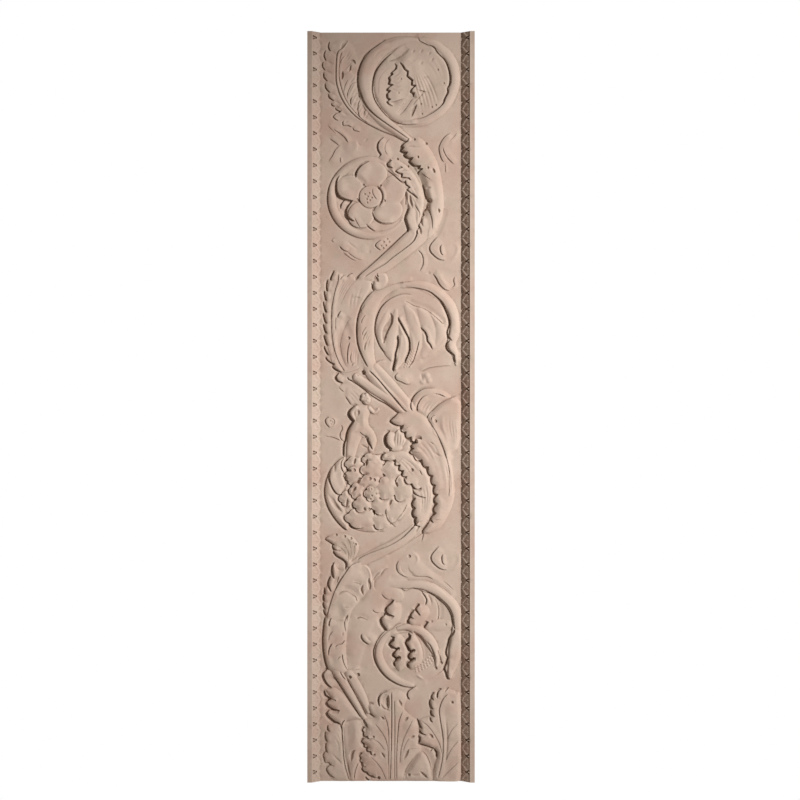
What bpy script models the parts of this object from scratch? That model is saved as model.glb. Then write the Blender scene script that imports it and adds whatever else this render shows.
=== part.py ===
"""A cast wall panel: a pilaster face carved with a peopled acanthus scroll.

Run it with blender --background --python part.py, or from Blender's text editor. It makes one
closed solid at its real size, in metres: +Z up, the carved face towards -Y, and the flat back in
the plane y = 0 with the origin at its centre, where the panel is fixed to its wall.

The carving is set out on a drawing ruled in squares. Places on it are counted in squares to the
right of the panel's centre line and up from its foot. Heights of the carving are shares of the
full rise of the carving over the ground.
"""
import bmesh
import bpy
import numpy as np

# The panel, in metres
PANEL_WIDTH = 0.586
PANEL_HEIGHT = 2.630
GROUND_THICKNESS = 0.030
FILLET_WIDTH = 0.0172
FILLET_RISE = 0.026
MOULDING_WIDTH = 0.0294
DART_PITCH = 0.056
DART_DEPTH = 0.012
CARVING_RISE = 0.028

# The drawing, in squares
FIELD_SQUARES = 141.0
HEIGHT_SQUARES = 751.0

# The solid's facets
GRID_SPACING = 0.0045
FACETS = 9600

PLASTER = (0.60, 0.45, 0.37, 1.0)
PLASTER_ROUGHNESS = 0.85


def line(*numbers):
    """Places on the drawing from a run of numbers: across and up, in turn."""
    return np.array(numbers, dtype=float).reshape(-1, 2)


def at(across, up):
    """One place on the drawing."""
    return np.array([across, up], dtype=float)


class Relief:
    """The carved face: heights above the ground, as shares of the full rise, on a grid."""

    def __init__(self, x, y):
        self.x = x
        self.y = y
        self.h = np.zeros((len(y), len(x)))

    def window(self, points, margin):
        low, high = points.min(axis=0) - margin, points.max(axis=0) + margin
        across = slice(*np.searchsorted(self.x, (low[0], high[0])))
        up = slice(*np.searchsorted(self.y, (low[1], high[1])))
        x, y = np.meshgrid(self.x[across], self.y[up])
        return (up, across), x, y


def curve(points, gap=1.5):
    """Points about a gap apart on a smooth curve through the given ones."""
    p = np.vstack([2 * points[0] - points[1], points, 2 * points[-1] - points[-2]])
    out = []
    for a, b, c, d in zip(p, p[1:], p[2:], p[3:]):
        t = np.linspace(0, 1, max(2, int(np.hypot(*(c - b)) / gap) + 1))[:-1, None]
        out.append(0.5 * (2 * b + (c - a) * t + (2 * a - 5 * b + 4 * c - d) * t ** 2
                          + (3 * b - a - 3 * c + d) * t ** 3))
    return np.vstack(out + [points[-1:]])


def arc(centre, radius, start, end, squash=1.0):
    """Points on an arc between two angles in degrees, with the end radius if two are given."""
    first, last = np.broadcast_to(radius, 2)
    count = max(4, int(abs(np.radians(end - start)) * max(first, last) / 1.5))
    t = np.linspace(0, 1, count)
    angle, r = np.radians(start + (end - start) * t), first + (last - first) * t
    return centre + np.column_stack([r * np.cos(angle), squash * r * np.sin(angle)])


def track(points, x, y):
    """Share of the way along a line, the distance off it, left of its run positive, and its
    length."""
    best = np.full(x.shape, 1e9)
    share, side = np.zeros(x.shape), np.ones(x.shape)
    steps = np.diff(points, axis=0)
    sizes = np.hypot(*steps.T)
    run = np.concatenate([[0], np.cumsum(sizes)])
    across = np.column_stack([-steps[:, 1], steps[:, 0]]) / sizes[:, None]
    corner = np.vstack([across[:1], across[1:] + across[:-1], across[-1:]])
    for k, (ax, ay) in enumerate(points[:-1]):
        nx, ny = across[k]
        s = (x - ax) * ny - (y - ay) * nx
        t = np.clip(s, 0, sizes[k])
        qx, qy = x - ax - t * ny, y - ay + t * nx
        d = qx * qx + qy * qy
        near = d < best
        best[near], share[near] = d[near], (run[k] + t)[near]
        wx = np.where(s < 0, corner[k, 0], np.where(s > sizes[k], corner[k + 1, 0], nx))
        wy = np.where(s < 0, corner[k, 1], np.where(s > sizes[k], corner[k + 1, 1], ny))
        side[near] = np.where(qx * wx + qy * wy >= 0, 1.0, -1.0)[near]
    return share / run[-1], np.sqrt(best) * side, run[-1]


def along(values, share):
    """A value that changes evenly along a line, or keeps to one number."""
    values = np.atleast_1d(values)
    return np.interp(share, np.linspace(0, 1, len(values)), values)


def lay(relief, place, height, edge, over=False):
    """Put a form on the face; edge is the distance in from its outline."""
    h = relief.h[place]
    inside = edge > 0
    new = height if over else np.maximum(h, height)
    h[inside] = new[inside]


def round_edge(edge, radius):
    """Share of full height near an edge: a steep rounded shoulder."""
    e = np.clip(edge / radius, 0, 1)
    return np.sqrt(e * (2 - e))


def stem(relief, points, width, rise, foot=0.2, smooth=True):
    """A half-round stem: full width and rise, each even or changing along it."""
    points = curve(points) if smooth else points
    half = np.atleast_1d(width) / 2.0
    place, x, y = relief.window(points, half.max() + 2)
    share, off, _ = track(points, x, y)
    r = along(half, share)
    crown = np.clip(1 - (off / np.maximum(r, 0.01)) ** 2, 0, 1) ** 0.8
    height = along(rise, share) * (foot + (1 - foot) * crown)
    lay(relief, place, height, r - np.abs(off))


def blob(relief, centre, across, up, turn, rise, foot=0.0, over=False, power=2.0):
    """A rounded lump: half sizes across and up, turned by degrees."""
    reach = max(across, up) + 1
    place, x, y = relief.window(np.array([centre]), reach)
    c, s = np.cos(np.radians(turn)), np.sin(np.radians(turn))
    u = ((x - centre[0]) * c + (y - centre[1]) * s) / across
    v = ((y - centre[1]) * c - (x - centre[0]) * s) / up
    r = np.hypot(u, v)
    height = rise * (foot + (1 - foot) * np.sqrt(np.clip(1 - r ** power, 0, 1)))
    lay(relief, place, height, 1 - r, over)


def patch(relief, outline, rise, shoulder, foot):
    """A raised patch inside a closed outline, with a rounded shoulder."""
    ring = curve(np.vstack([outline, outline[:1]]), 1.2)
    place, x, y = relief.window(ring, 3)
    _, off, _ = track(ring, x, y)
    inside = np.zeros(x.shape, bool)
    for (ax, ay), (bx, by) in zip(ring, ring[1:]):
        if ay != by:
            crosses = (ay > y) != (by > y)
            inside ^= crosses & (x < (bx - ax) * (y - ay) / (by - ay) + ax)
    edge = np.where(inside, np.abs(off), -np.abs(off))
    inner = 1 - np.clip(edge / shoulder, 0, 1)
    lay(relief, place, rise * (foot + (1 - foot) * (1 - inner * inner)), edge)


def cut(relief, points, width, depth):
    """A tapering groove along a line: deepest in the middle of its length."""
    points = curve(points, 1.0)
    place, x, y = relief.window(points, width + 1)
    share, off, _ = track(points, x, y)
    taper = np.sqrt(np.sin(np.pi * np.clip(share, 0.04, 0.96)))
    dig = depth * taper * np.clip(1 - np.abs(off) / (0.5 * width * taper + 0.15), 0, 1) ** 0.7
    relief.h[place] = np.where(relief.h[place] > 0, np.maximum(relief.h[place] - dig, -0.06),
                               relief.h[place] - 0.15 * dig)


def drill(relief, centre, radius=1.2, depth=0.26):
    """A small drilled hole."""
    place, x, y = relief.window(np.array([centre]), radius + 2)
    r = np.hypot(x - centre[0], y - centre[1]) / radius
    relief.h[place] -= depth * np.clip(1.3 - r ** 2, 0, 1) ** 0.5


def jagged(points, teeth, depth, lean=0.6):
    """A line with teeth on its left side, each leaning towards its end."""
    smooth = curve(points, 0.7)
    steps = np.concatenate([[0], np.cumsum(np.hypot(*np.diff(smooth, axis=0).T))])
    t = steps / steps[-1]
    way = np.gradient(smooth, axis=0)
    way /= np.hypot(*way.T)[:, None]
    normal = np.column_stack([-way[:, 1], way[:, 0]])
    wave = np.mod(t * teeth, 1)
    saw = np.where(wave < lean, wave / lean, (1 - wave) / (1 - lean))
    return smooth + normal * (depth * saw)[:, None]


def edge(relief, points, lift, reach, groove=0.15, width=1.8, fade=3.0, level=0.3, smooth=True):
    """A carved edge. The surface to the left of the line's run is lifted, keeps that height over
    the level share of its reach and then dies away; a groove lies along its foot."""
    points = curve(points, 1.0) if smooth else points
    place, x, y = relief.window(points, max(np.max(reach), np.max(width)) + 1)
    share, off, size = track(points, x, y)
    left = np.minimum(share, 1 - share) * size
    reach = along(reach, share)
    slow = np.clip(left / np.maximum(fade, 0.6 * reach), 0, 1)
    d = np.clip((off / reach - level) / (1 - level), 0, 1)
    onset = round_edge(off, 0.9) * (off > 0)
    relief.h[place] += along(lift, share) * slow * (2 - slow) * onset * (1 - d * d * (3 - 2 * d))
    ends = np.sqrt(np.clip(left / fade, 0, 1))
    foot = np.clip(1 + off / (along(width, share) * ends + 0.05), 0, 1) * (off <= 0)
    relief.h[place] -= along(groove, share) * ends * foot


def crease(relief, points, width, depth):
    """A soft groove along a line, or a soft ridge where its depth is negative."""
    points = curve(points, 1.5)
    place, x, y = relief.window(points, 1.5 * width + 1)
    share, off, _ = track(points, x, y)
    ends = np.sin(np.pi * np.clip(share, 0, 1))
    relief.h[place] -= depth * ends * np.exp(-(2 * off / width) ** 2)


def swell(relief, centre, across, up, turn=0, rise=0.1):
    """A soft mound laid on what is there, or a soft hollow where its rise is negative."""
    place, x, y = relief.window(np.array([centre]), 2 * max(across, up))
    c, s = np.cos(np.radians(turn)), np.sin(np.radians(turn))
    u = ((x - centre[0]) * c + (y - centre[1]) * s) / across
    v = ((y - centre[1]) * c - (x - centre[0]) * s) / up
    relief.h[place] += rise * np.exp(-(u * u + v * v) ** 1.5)


def band(relief, points, width, rise, foot, soft=0.8):
    """A flattened band: a steep shoulder on its left, a soft fall on its right, as it runs."""
    points = curve(points)
    half = np.atleast_1d(width) / 2.0
    place, x, y = relief.window(points, half.max() + 2)
    share, off, _ = track(points, x, y)
    r = np.maximum(along(half, share), 0.01)
    u = off / r
    left = foot + (1 - foot) * np.sqrt(np.clip(1 - np.clip(u, 0, 1) ** 3, 0, 1))
    right = (1 - soft * np.clip(-u, 0, 1) ** 2)
    height = along(rise, share) * np.where(u > 0, left, right)
    lay(relief, place, height, r - np.abs(off))


def serrate(relief, points, count, depth):
    """A row of teeth along a line: each a short edge that bows inwards to its tip."""
    smooth = curve(points, 0.7)
    stops = np.linspace(0, len(smooth) - 1, count + 1).astype(int)
    for first, last in zip(stops, stops[1:]):
        tooth = smooth[first:last + 1].copy()
        way = tooth[-1] - tooth[0]
        inward = np.array([-way[1], way[0]]) / np.hypot(*way)
        tooth += inward * (depth * np.linspace(0, 1, len(tooth)) ** 1.5)[:, None]
        edge(relief, tooth[::2], 0.13, 6, 0.32, 2.6, fade=1.5)


def edge_mouldings(across, up, carved):
    """Plain fillets at the long edges, and the leaf-and-dart moulding that falls from them."""
    x, z = np.meshgrid(across, up)
    inward = PANEL_WIDTH / 2 - np.abs(x)
    v = np.clip((inward - FILLET_WIDTH) / MOULDING_WIDTH, 0, 1)
    count = max(1, round(PANEL_HEIGHT / DART_PITCH))
    w = np.abs(np.mod((PANEL_HEIGHT - z) / PANEL_HEIGHT * count + 0.125, 1) - 0.5)
    slope = FILLET_RISE * ((1 - v) ** 0.9 + 0.04 * np.sin(2 * np.pi * v))
    leaf_line = 0.10 + 0.80 * np.clip(w * 2, 0, 1) ** 0.55
    rim = np.exp(-((v - leaf_line) / 0.13) ** 2) * (w < 0.47)
    vein = np.exp(-((0.5 - w) / 0.04) ** 2) * (v > 0.2)
    dart = np.exp(-(w / 0.035) ** 2) * (v > 0.35)
    mouth = 0.17 * np.clip(1 - (v - 0.05) / 0.5, 0, 1) + 1e-3
    pocket = np.clip(1 - w / mouth, 0, 1) * (v > 0.03) * (v < 0.55)
    shape = slope + DART_DEPTH * (0.27 * rim + 0.17 * vein + 0.15 * dart - 0.2 - np.sqrt(pocket))
    shape = np.where(inward <= FILLET_WIDTH, FILLET_RISE, np.maximum(shape, 0.0))
    return np.where(inward < FILLET_WIDTH + MOULDING_WIDTH, shape, carved)


def volute_one(r):
    # the far rim, and the band that winds up and over from the stem
    band(r, line(7, 658, 31, 661, 43, 667.5, 53, 676, 60, 687, 64, 700, 63.5, 714, 59, 725, 51, 734,
        41, 741, 29, 744), (3, 7, 9, 10, 10, 10, 10, 10, 8, 5), (0.2, 0.34, 0.4, 0.46, 0.46, 0.46, 0.4,
        0.3, 0.2), foot=0.04)
    patch(r, line(-2, 728, 9, 738, 23, 744, 39, 740, 51, 730, 58, 716, 59, 702, 56, 687, 47, 674, 34,
        665, 19, 661, 5, 662, -8, 673, -15, 684, -18, 696, -15, 712), 0.22, 3, 0.21)
    stem(r, line(18, 643, 7, 651, -5, 660, -15, 670, -22, 681, -25, 692, -25.5, 704, -23, 716, -16,
        727, -7, 735, 5, 741, 19, 743, 33, 741), (7, 10, 13, 14.5, 15, 15, 14, 12, 8, 5), (0.4, 0.48,
        0.52, 0.52, 0.48, 0.4, 0.3, 0.24), foot=0.2)
    edge(r, line(-5, 744, -21, 732.5, -27, 726, -32, 712, -32.8, 703, -31.5, 695, -26, 680, -19, 671,
        -8, 662, 18, 644), 0.11, 9, 0.2, 2.6)
    edge(r, line(1, 730, -6, 724, -13, 715, -17, 706, -18.5, 696, -17, 686, -13, 678, -5, 668, 3, 662,
        14, 658.5, 27, 659), 0.25, 14, 0.17, 2.2)
    edge(r, line(27.5, 746, 29, 742.5, 36, 739, 43, 736.5, 47, 731, 55, 722.5, 60.5, 705, 59.5, 698,
        57, 695, 58, 691, 55, 685, 52.5, 679, 38, 668, 29, 664.5, 19, 663), 0.14, 9, (0.07, 0.17, 0.26,
        0.3, 0.26, 0.17, 0.07), 2.6)
    # the turned leaf that fills the eye: two layers, each with its ragged edge to the left
    edge(r, line(3.5, 720, 6, 717.5, 5.5, 714, 1, 710.5, 2, 708.5, -1.5, 706, -0.5, 703, -1.5, 699, 2,
        698, -2, 695.5, -3.5, 693, -0.5, 692, -3.5, 689, -3, 685, -0.5, 683.5, -3.5, 681.5, -2, 679, 2,
        677), 0.34, 17, 0.2, 2.8, smooth=False)
    edge(r, line(8.5, 721, 12, 718, 14.5, 713.5, 17.5, 711.5, 17, 707, 22, 703, 21.5, 698, 25, 697.5,
        21.5, 694, 20.5, 691, 23.5, 690, 22.5, 686), 0.34, 20, 0.2, 2.4, smooth=False)


def stem_one(r):
    # the big leaf at the left: a narrow toothed side, a double rib, a side of folded lobes
    patch(r, line(-46, 742, -39, 738, -33, 724, -32, 707, -31, 692, -25, 679, -13, 668, 1, 656, 17,
        644, 7, 646, -7, 652, -23, 658, -37, 663, -48, 666, -57, 676, -63, 686, -66, 698, -67, 710,
        -66, 724, -61, 738, -53, 744), 0.2, 2.5, 0.17)
    for tip, root in zip(line(-61.5, 742, -65.5, 733.5, -68, 722, -66, 700.5, -59.5, 680.5, -56, 676),
                                        line(-60.5, 732, -65, 722.5, -66, 713, -61, 690.5, -57, 682.5,
                                            -56.5, 677, -50, 671.5)):
        bow = (tip + root) / 2 + (-1.6, 0)
        edge(r, np.array([tip, bow, root]), 0.14, 9, 0.23, 2.2, fade=2)
    edge(r, line(-45, 743.5, -50.5, 734, -53, 731.5, -54.5, 724, -55, 704, -50, 686, -38, 669.5, -29,
        662.5, -11, 653, 4, 647, 13, 642), 0.11, 4, 0.11, 1.8)
    # the lobes: each curls over the next
    edge(r, line(-38, 687, -40, 684, -40.5, 680, -39.5, 677.5), 0.16, 8, 0.13, 1.8)
    edge(r, line(-34, 700, -38, 700, -40.5, 697, -43.5, 690, -44, 684), 0.11, 7, 0.07, 1.6)
    edge(r, line(-31, 684, -33, 678, -33, 671, -31, 665), 0.11, 6, 0.07, 1.6)
    # the small lobes under it
    edge(r, line(-49, 673.5, -51.5, 671, -55.5, 669.5, -58, 666.5, -52.5, 662.5), 0.11, 8, 0.17, 1.8,
        smooth=False)
    edge(r, line(-47, 663, -48.5, 661, -48, 658, -43, 658, -39, 656), 0.11, 6, 0.15, 1.6, smooth=False)
    edge(r, line(-39, 656, -37, 653, -31, 651.5), 0.11, 6, 0.13, 1.6, smooth=False)
    # a small curled leaf in low relief
    edge(r, line(-7, 646, -11, 642.5, -13, 638, -12.5, 633, -10, 628.5, -13, 625.5), 0.25, 13, 0.2, 2.4)


def upper_birds(r):
    # the bird under the first leaf: a lifted wing, a lower wing, breast, tail and legs
    swell(r, at(-39, 636), 8, 9, 20, 0.14)
    swell(r, at(-53, 649), 12, 6, -45, 0.08)
    edge(r, line(-58, 654, -51, 649.5, -46, 645, -43, 640), 0.1, 6, 0.07, 2)
    # the bird at the right edge, its wing up the moulding
    swell(r, at(58, 636), 7, 13, 0, 0.14)
    edge(r, line(60, 650, 55, 647, 48.5, 636, 51, 624, 53.5, 620.5), 0.11, 8, 0.09, 1.8)
    # the bird that flies under the second volute
    swell(r, at(-41, 533), 17, 7, -38, 0.16)
    edge(r, line(-52, 537, -48, 533, -43, 531), 0.11, 7, 0.12, 2.2)


def five_petals(r):
    centre = at(-20.5, 586)
    # the ring that the stem makes, thick at the left and lost at the right
    stem(r, arc(at(-21, 584.5), 38.5, 330, 40, 0.97), (3, 5, 7, 8, 8.5, 8.5, 8, 7.5, 7, 6, 4), (0.1,
        0.24, 0.32, 0.34, 0.34, 0.3, 0.24, 0.1), foot=0.18, smooth=False)
    edge(r, arc(at(-21, 585), 42.5, 78, 278, 0.975), (0.02, 0.09, 0.16, 0.18, 0.16, 0.11, 0.03), 9,
        (0.07, 0.13, 0.23, 0.26, 0.26, 0.2, 0.07), 2.4, smooth=False)
    patch(r, line(-45, 612, -29, 622, -11, 622, 5, 612, 15, 596, 16, 576, 9, 561, -6, 553, -25, 553,
        -41, 562, -50, 577, -52, 596), 0.1, 6, 0.07)
    # five cupped petals about a button
    for petal, across, up, turn in ((at(-40.5, 594.5), 14.5, 13, -20), (at(-19.5, 608.5), 15.5, 13.5,
        5), (at(1.5, 592), 13, 16, -25),
                                    (at(-3, 571), 15, 12, 25), (at(-30, 568), 13.5, 13, 30)):
        blob(r, petal, across, up, turn, 0.42, foot=0.45, power=2.6)
        swell(r, petal + (1.5, 0), 0.5 * across, 0.5 * up, turn, -0.07)
    edge(r, line(-51.5, 607.5, -54, 602, -54.5, 595, -52.5, 588.5, -47, 584.5, -38, 582), 0.16, 12,
        0.33, 3.4, fade=4)
    edge(r, line(-22, 621.5, -29, 617.5, -33.5, 612, -35.5, 604.5), 0.16, 12, 0.28, 2.8, fade=4)
    edge(r, line(-38, 582.5, -42.5, 577, -44.5, 572, -42.5, 566, -36.5, 561.5), 0.16, 12, 0.33, 3.6,
        fade=3)
    edge(r, line(-46, 583.5, -49.5, 579, -50.5, 573.5), 0.14, 6, 0.26, 2.4, fade=3)
    edge(r, line(-18.5, 573, -17.5, 567, -13, 562, -7, 559.5, 3, 560), 0.14, 9, (0.07, 0.2, 0.17,
        0.07), 1.9)
    edge(r, line(-25, 559, -21, 555, -15.5, 551.5), 0.14, 7, 0.17, 2, fade=3)
    blob(r, centre, 11.2, 11, 0, 0.46, foot=0.72, over=True)
    edge(r, arc(centre, 12.6, 60, -50), 0.11, 4, 0.15, 2.6, smooth=False)


def calyx_two(r):
    # the stem as two strands, bound by its calyx
    stem(r, line(45, 596, 45, 580, 39, 564, 29, 550, 1, 525, -37, 499), (10, 12, 16, 19, 19, 17, 16,
        13, 6), (0.3, 0.4, 0.44, 0.42, 0.38, 0.34, 0.3, 0.24), foot=0.18)
    edge(r, line(18, 553, 4, 540, -16, 521, -34, 505.5), 0.14, 8, (0.2, 0.2, 0.16, 0.13, 0.11), 2)
    edge(r, line(27, 552, 25, 545, 20, 538.5, 2, 525, -6, 518.5, -16, 512.5, -27, 505), 0.11, 8, (0.26,
        0.22, 0.16, 0.13, 0.08), 2)
    # the outer leaf: ragged down its left, smooth and full down its right
    patch(r, line(20, 645, 30, 645, 40, 633, 47, 619, 51, 602, 53, 584, 52, 570, 46, 554, 37, 544, 33,
        556, 37, 574, 34, 590, 29, 604, 23, 616, 10, 634, 13, 641), 0.42, 7, 0.09)
    edge(r, line(18.5, 644.5, 17, 641.5, 14, 640, 11.5, 637.5, 13, 635, 10.5, 632.2, 16.5, 630.5, 14.3,
        627.7, 18, 625, 22, 625, 19.5, 621.5, 23, 618, 29.5, 617, 28.5, 614, 32, 614, 28.5, 611.5,
        27.3, 608), (0.14, 0.28, 0.3, 0.28, 0.14), 20, 0.28, 2.6, fade=2, level=0.1, smooth=False)
    edge(r, line(32, 599, 34.3, 593, 35.5, 588, 40, 580.5), 0.18, 10, 0.24, 2.4, fade=2)
    swell(r, at(36, 570), 4, 13, 8, -0.27)
    # the inner leaf, lower, over the blossom's ring
    patch(r, line(-1, 625, 7, 623, 17, 616, 24, 608, 30, 596, 33, 582, 31, 568, 27, 554, 19, 552, 14,
        564, 17, 576, 14, 592, 7, 604, -3, 616), 0.36, 4, 0.14)
    edge(r, line(1, 622.5, -3.7, 619.5, -3, 617.5, 2, 615), 0.18, 8, 0.22, 2, fade=2, smooth=False)
    edge(r, line(12, 615.2, 5, 612, 8, 609.8, 11.7, 609, 11, 605.7, 18.3, 605, 20.5, 602.5), 0.23, 12,
        0.24, 2.2, fade=2, smooth=False)
    edge(r, line(-4, 613, 2, 608.7, 11.5, 600.7, 14.5, 602.2, 15.5, 598.5, 19.2, 595.2, 16.8, 593.7,
        20, 590.2, 24, 587.8, 27.5, 584), 0.14, 6, (0.07, 0.13, 0.21, 0.2, 0.16), 1.9, fade=2)
    edge(r, line(18.6, 575, 15.3, 565, 17, 559, 18, 554, 17, 550), 0.14, 9, 0.28, 3, fade=2)


def small_things(r):
    # a small blossom over the second stem
    swell(r, at(-8.5, 538.5), 8, 6, 25, 0.19)
    # a lily on a thin tendril, and the like lily lower down
    for lily in line(52, 533, 53.5, 222.5):
        swell(r, lily + (0.5, 0), 13, 13, 0, 0.14)
        edge(r, lily + line(-5, 13, -12.5, 3.5, -12.3, 0.5, -5, -9, -1.5, -10.5), 0.14, 12, (0.07,
            0.16, 0.16, 0.13), 2, fade=3)
        edge(r, lily + line(-0.3, 9, -0.5, 5, -0.8, 0), 0.14, 5, 0.11, 1.8, fade=2)
        crease(r, lily + line(10, 8, 15, 2, 13, -6, 7, -12), 4, -0.09)
    # a pod and its hook
    swell(r, at(51, 503), 9, 6, -50, 0.14)
    edge(r, line(42, 509, 45.5, 505, 49, 498.5, 54, 493.5, 59, 492), 0.14, 8, (0.07, 0.16, 0.13, 0.07),
        2)


def leaf_three(r):
    # the tall leaf at the left: a toothed side, a soft rib, and folded lobes to its right
    patch(r, line(-55, 512, -45, 506, -33, 505, -19, 500, -25, 484, -32, 468, -34, 452, -30, 432, -23,
        416, -35, 410, -49, 408, -58, 416, -66, 448, -65, 488, -62, 502), 0.22, 4, 0.12)
    serrate(r, line(-56.5, 512, -62, 505, -65.8, 496, -67.3, 484, -67.5, 456, -64, 422, -52, 408), 13,
        3.4)
    edge(r, line(-52.5, 510, -53, 502, -58.5, 480, -59.7, 454, -56, 430, -52, 420, -46.5, 411), 0.11,
        5, 0.05, 2.6)
    for tip in (line(-47, 507.5, -49.5, 505, -51, 502.5), line(-38.5, 509, -42, 507.8, -44.2, 505.5)):
        edge(r, tip, 0.11, 6, 0.15, 1.8, fade=1.5)
    # lobes
    swell(r, at(-44.5, 454), 3.5, 9, 20, -0.11)
    edge(r, line(-41, 441, -43, 434, -43.7, 426, -43.3, 418), 0.11, 8, 0.08, 1.6)


def volute_three(r):
    # the stem, then the leafy band, the rim and the dish that they close
    patch(r, line(7, 498, 23, 498, 39, 494, 51, 484, 59, 468, 59, 452, 53, 436, 39, 425, 23, 421, 7,
        421, -5, 428, -13, 440, -16, 454, -15, 468, -7, 480), 0.14, 5, 0.1)
    band(r, line(66, 418, 64, 430, 61, 439, 64, 451, 63.8, 465, 59.5, 477, 51, 486, 40, 493.5, 27, 498,
        13, 499), (3, 7, 9, 10, 9, 10, 11, 12, 11, 8, 5), (0.14, 0.3, 0.36, 0.36, 0.36, 0.34, 0.3,
        0.2), foot=0.28, soft=0.9)
    stem(r, line(21, 368, 9, 380, -3, 391, -15, 403, -21, 414, -24.5, 426, -26, 452, -24.5, 466, -20,
        478, -12, 488, -1, 494.5, 13, 497.5), (8, 9, 10, 11, 13, 15, 17, 18, 18, 16, 12, 8, 5), (0.36,
        0.4, 0.4, 0.4, 0.42, 0.42, 0.38, 0.3, 0.2), foot=0.2)
    edge(r, line(-18, 491.5, -22.5, 487, -30.5, 474, -33.7, 459, -33.5, 443, -31.5, 434, -28, 425, -23,
        415), 0.14, 9, (0.13, 0.23, 0.26, 0.23, 0.13), 2.6)
    edge(r, line(21, 487.5, 12, 488.3, 4, 486, -3, 482, -9, 476, -13, 468, -15.8, 453, -11.5, 438, -7,
        431, 5.5, 422.3), 0.11, 12, (0.07, 0.13, 0.24, 0.24, 0.16, 0.07), 2.2)
    edge(r, line(9, 494.5, 21, 495, 39, 491, 52, 479.5, 55, 471, 59.7, 459.5, 56.7, 453.5, 56, 449, 61,
        442), 0.11, 9, (0.03, 0.11, 0.2, 0.26, 0.26, 0.2), 2.4)
    edge(r, line(59.5, 442.5, 56.5, 438, 56.7, 433.5, 63.2, 428, 65, 419.5), 0.16, 7, 0.24, 2.4, fade=2)
    # folds of the band
    for k, (tall, deep) in enumerate(((8, 0.06), (10, 0.1), (11, 0.08), (9, 0.08))):
        edge(r, line(-26, 478, -29.5, 473, -30.5, 469) + (0.8 * k, -tall * k), 0.05, 4, deep, 1.4,
            fade=2)
    # the small curl over the band
    patch(r, line(-12, 511, -5, 509, -3, 501, -7, 494, -15, 492, -18, 497, -16, 505), 0.24, 3, 0.14)
    cut(r, line(-16, 506.5, -15.5, 504, -13, 501), 4.6, 0.45)
    edge(r, line(-20, 500, -18.2, 497, -17.5, 491.5), 0.18, 9, 0.26, 2.4, fade=2)
    # the lily: petals like split husks, and a spray of seeds
    for spine, w in ((line(-3, 473, -7, 464, -11, 452, -9, 437), (5, 9, 9, 4)),
                     (line(5, 472, 3, 460, 0, 446, -2, 432, 1, 424), (6, 11, 14, 13, 6)),
                     (line(9, 464, 13, 450, 13, 436, 9, 422, 5, 414), (6, 11, 11, 9, 4)),
                     (line(15, 476, 21, 464, 25, 450, 26, 436, 21, 424), (7, 15, 14, 13, 6)),
                     (line(29, 473, 35, 462, 39, 450, 37, 438, 32, 428), (9, 17, 18, 16, 8)),
                     (line(41, 469, 47, 460, 49, 450, 46, 439), (6, 11, 13, 8))):
        stem(r, spine, w, (0.24, 0.32, 0.34, 0.3, 0.2), foot=0.16)
    cut(r, line(-0.5, 468.5, 0.5, 465, -1, 460, -6.5, 449, -7.6, 440), 5.4, 0.52)
    edge(r, line(7, 465.5, 18.5, 444, 18.8, 430, 14, 419.5), 0.07, 5, 0.26, 2.8)
    edge(r, line(7, 447.5, 8, 441, 5.3, 429, 5, 424, 2.5, 410.5), 0.07, 4, 0.29, 2.8)


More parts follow.
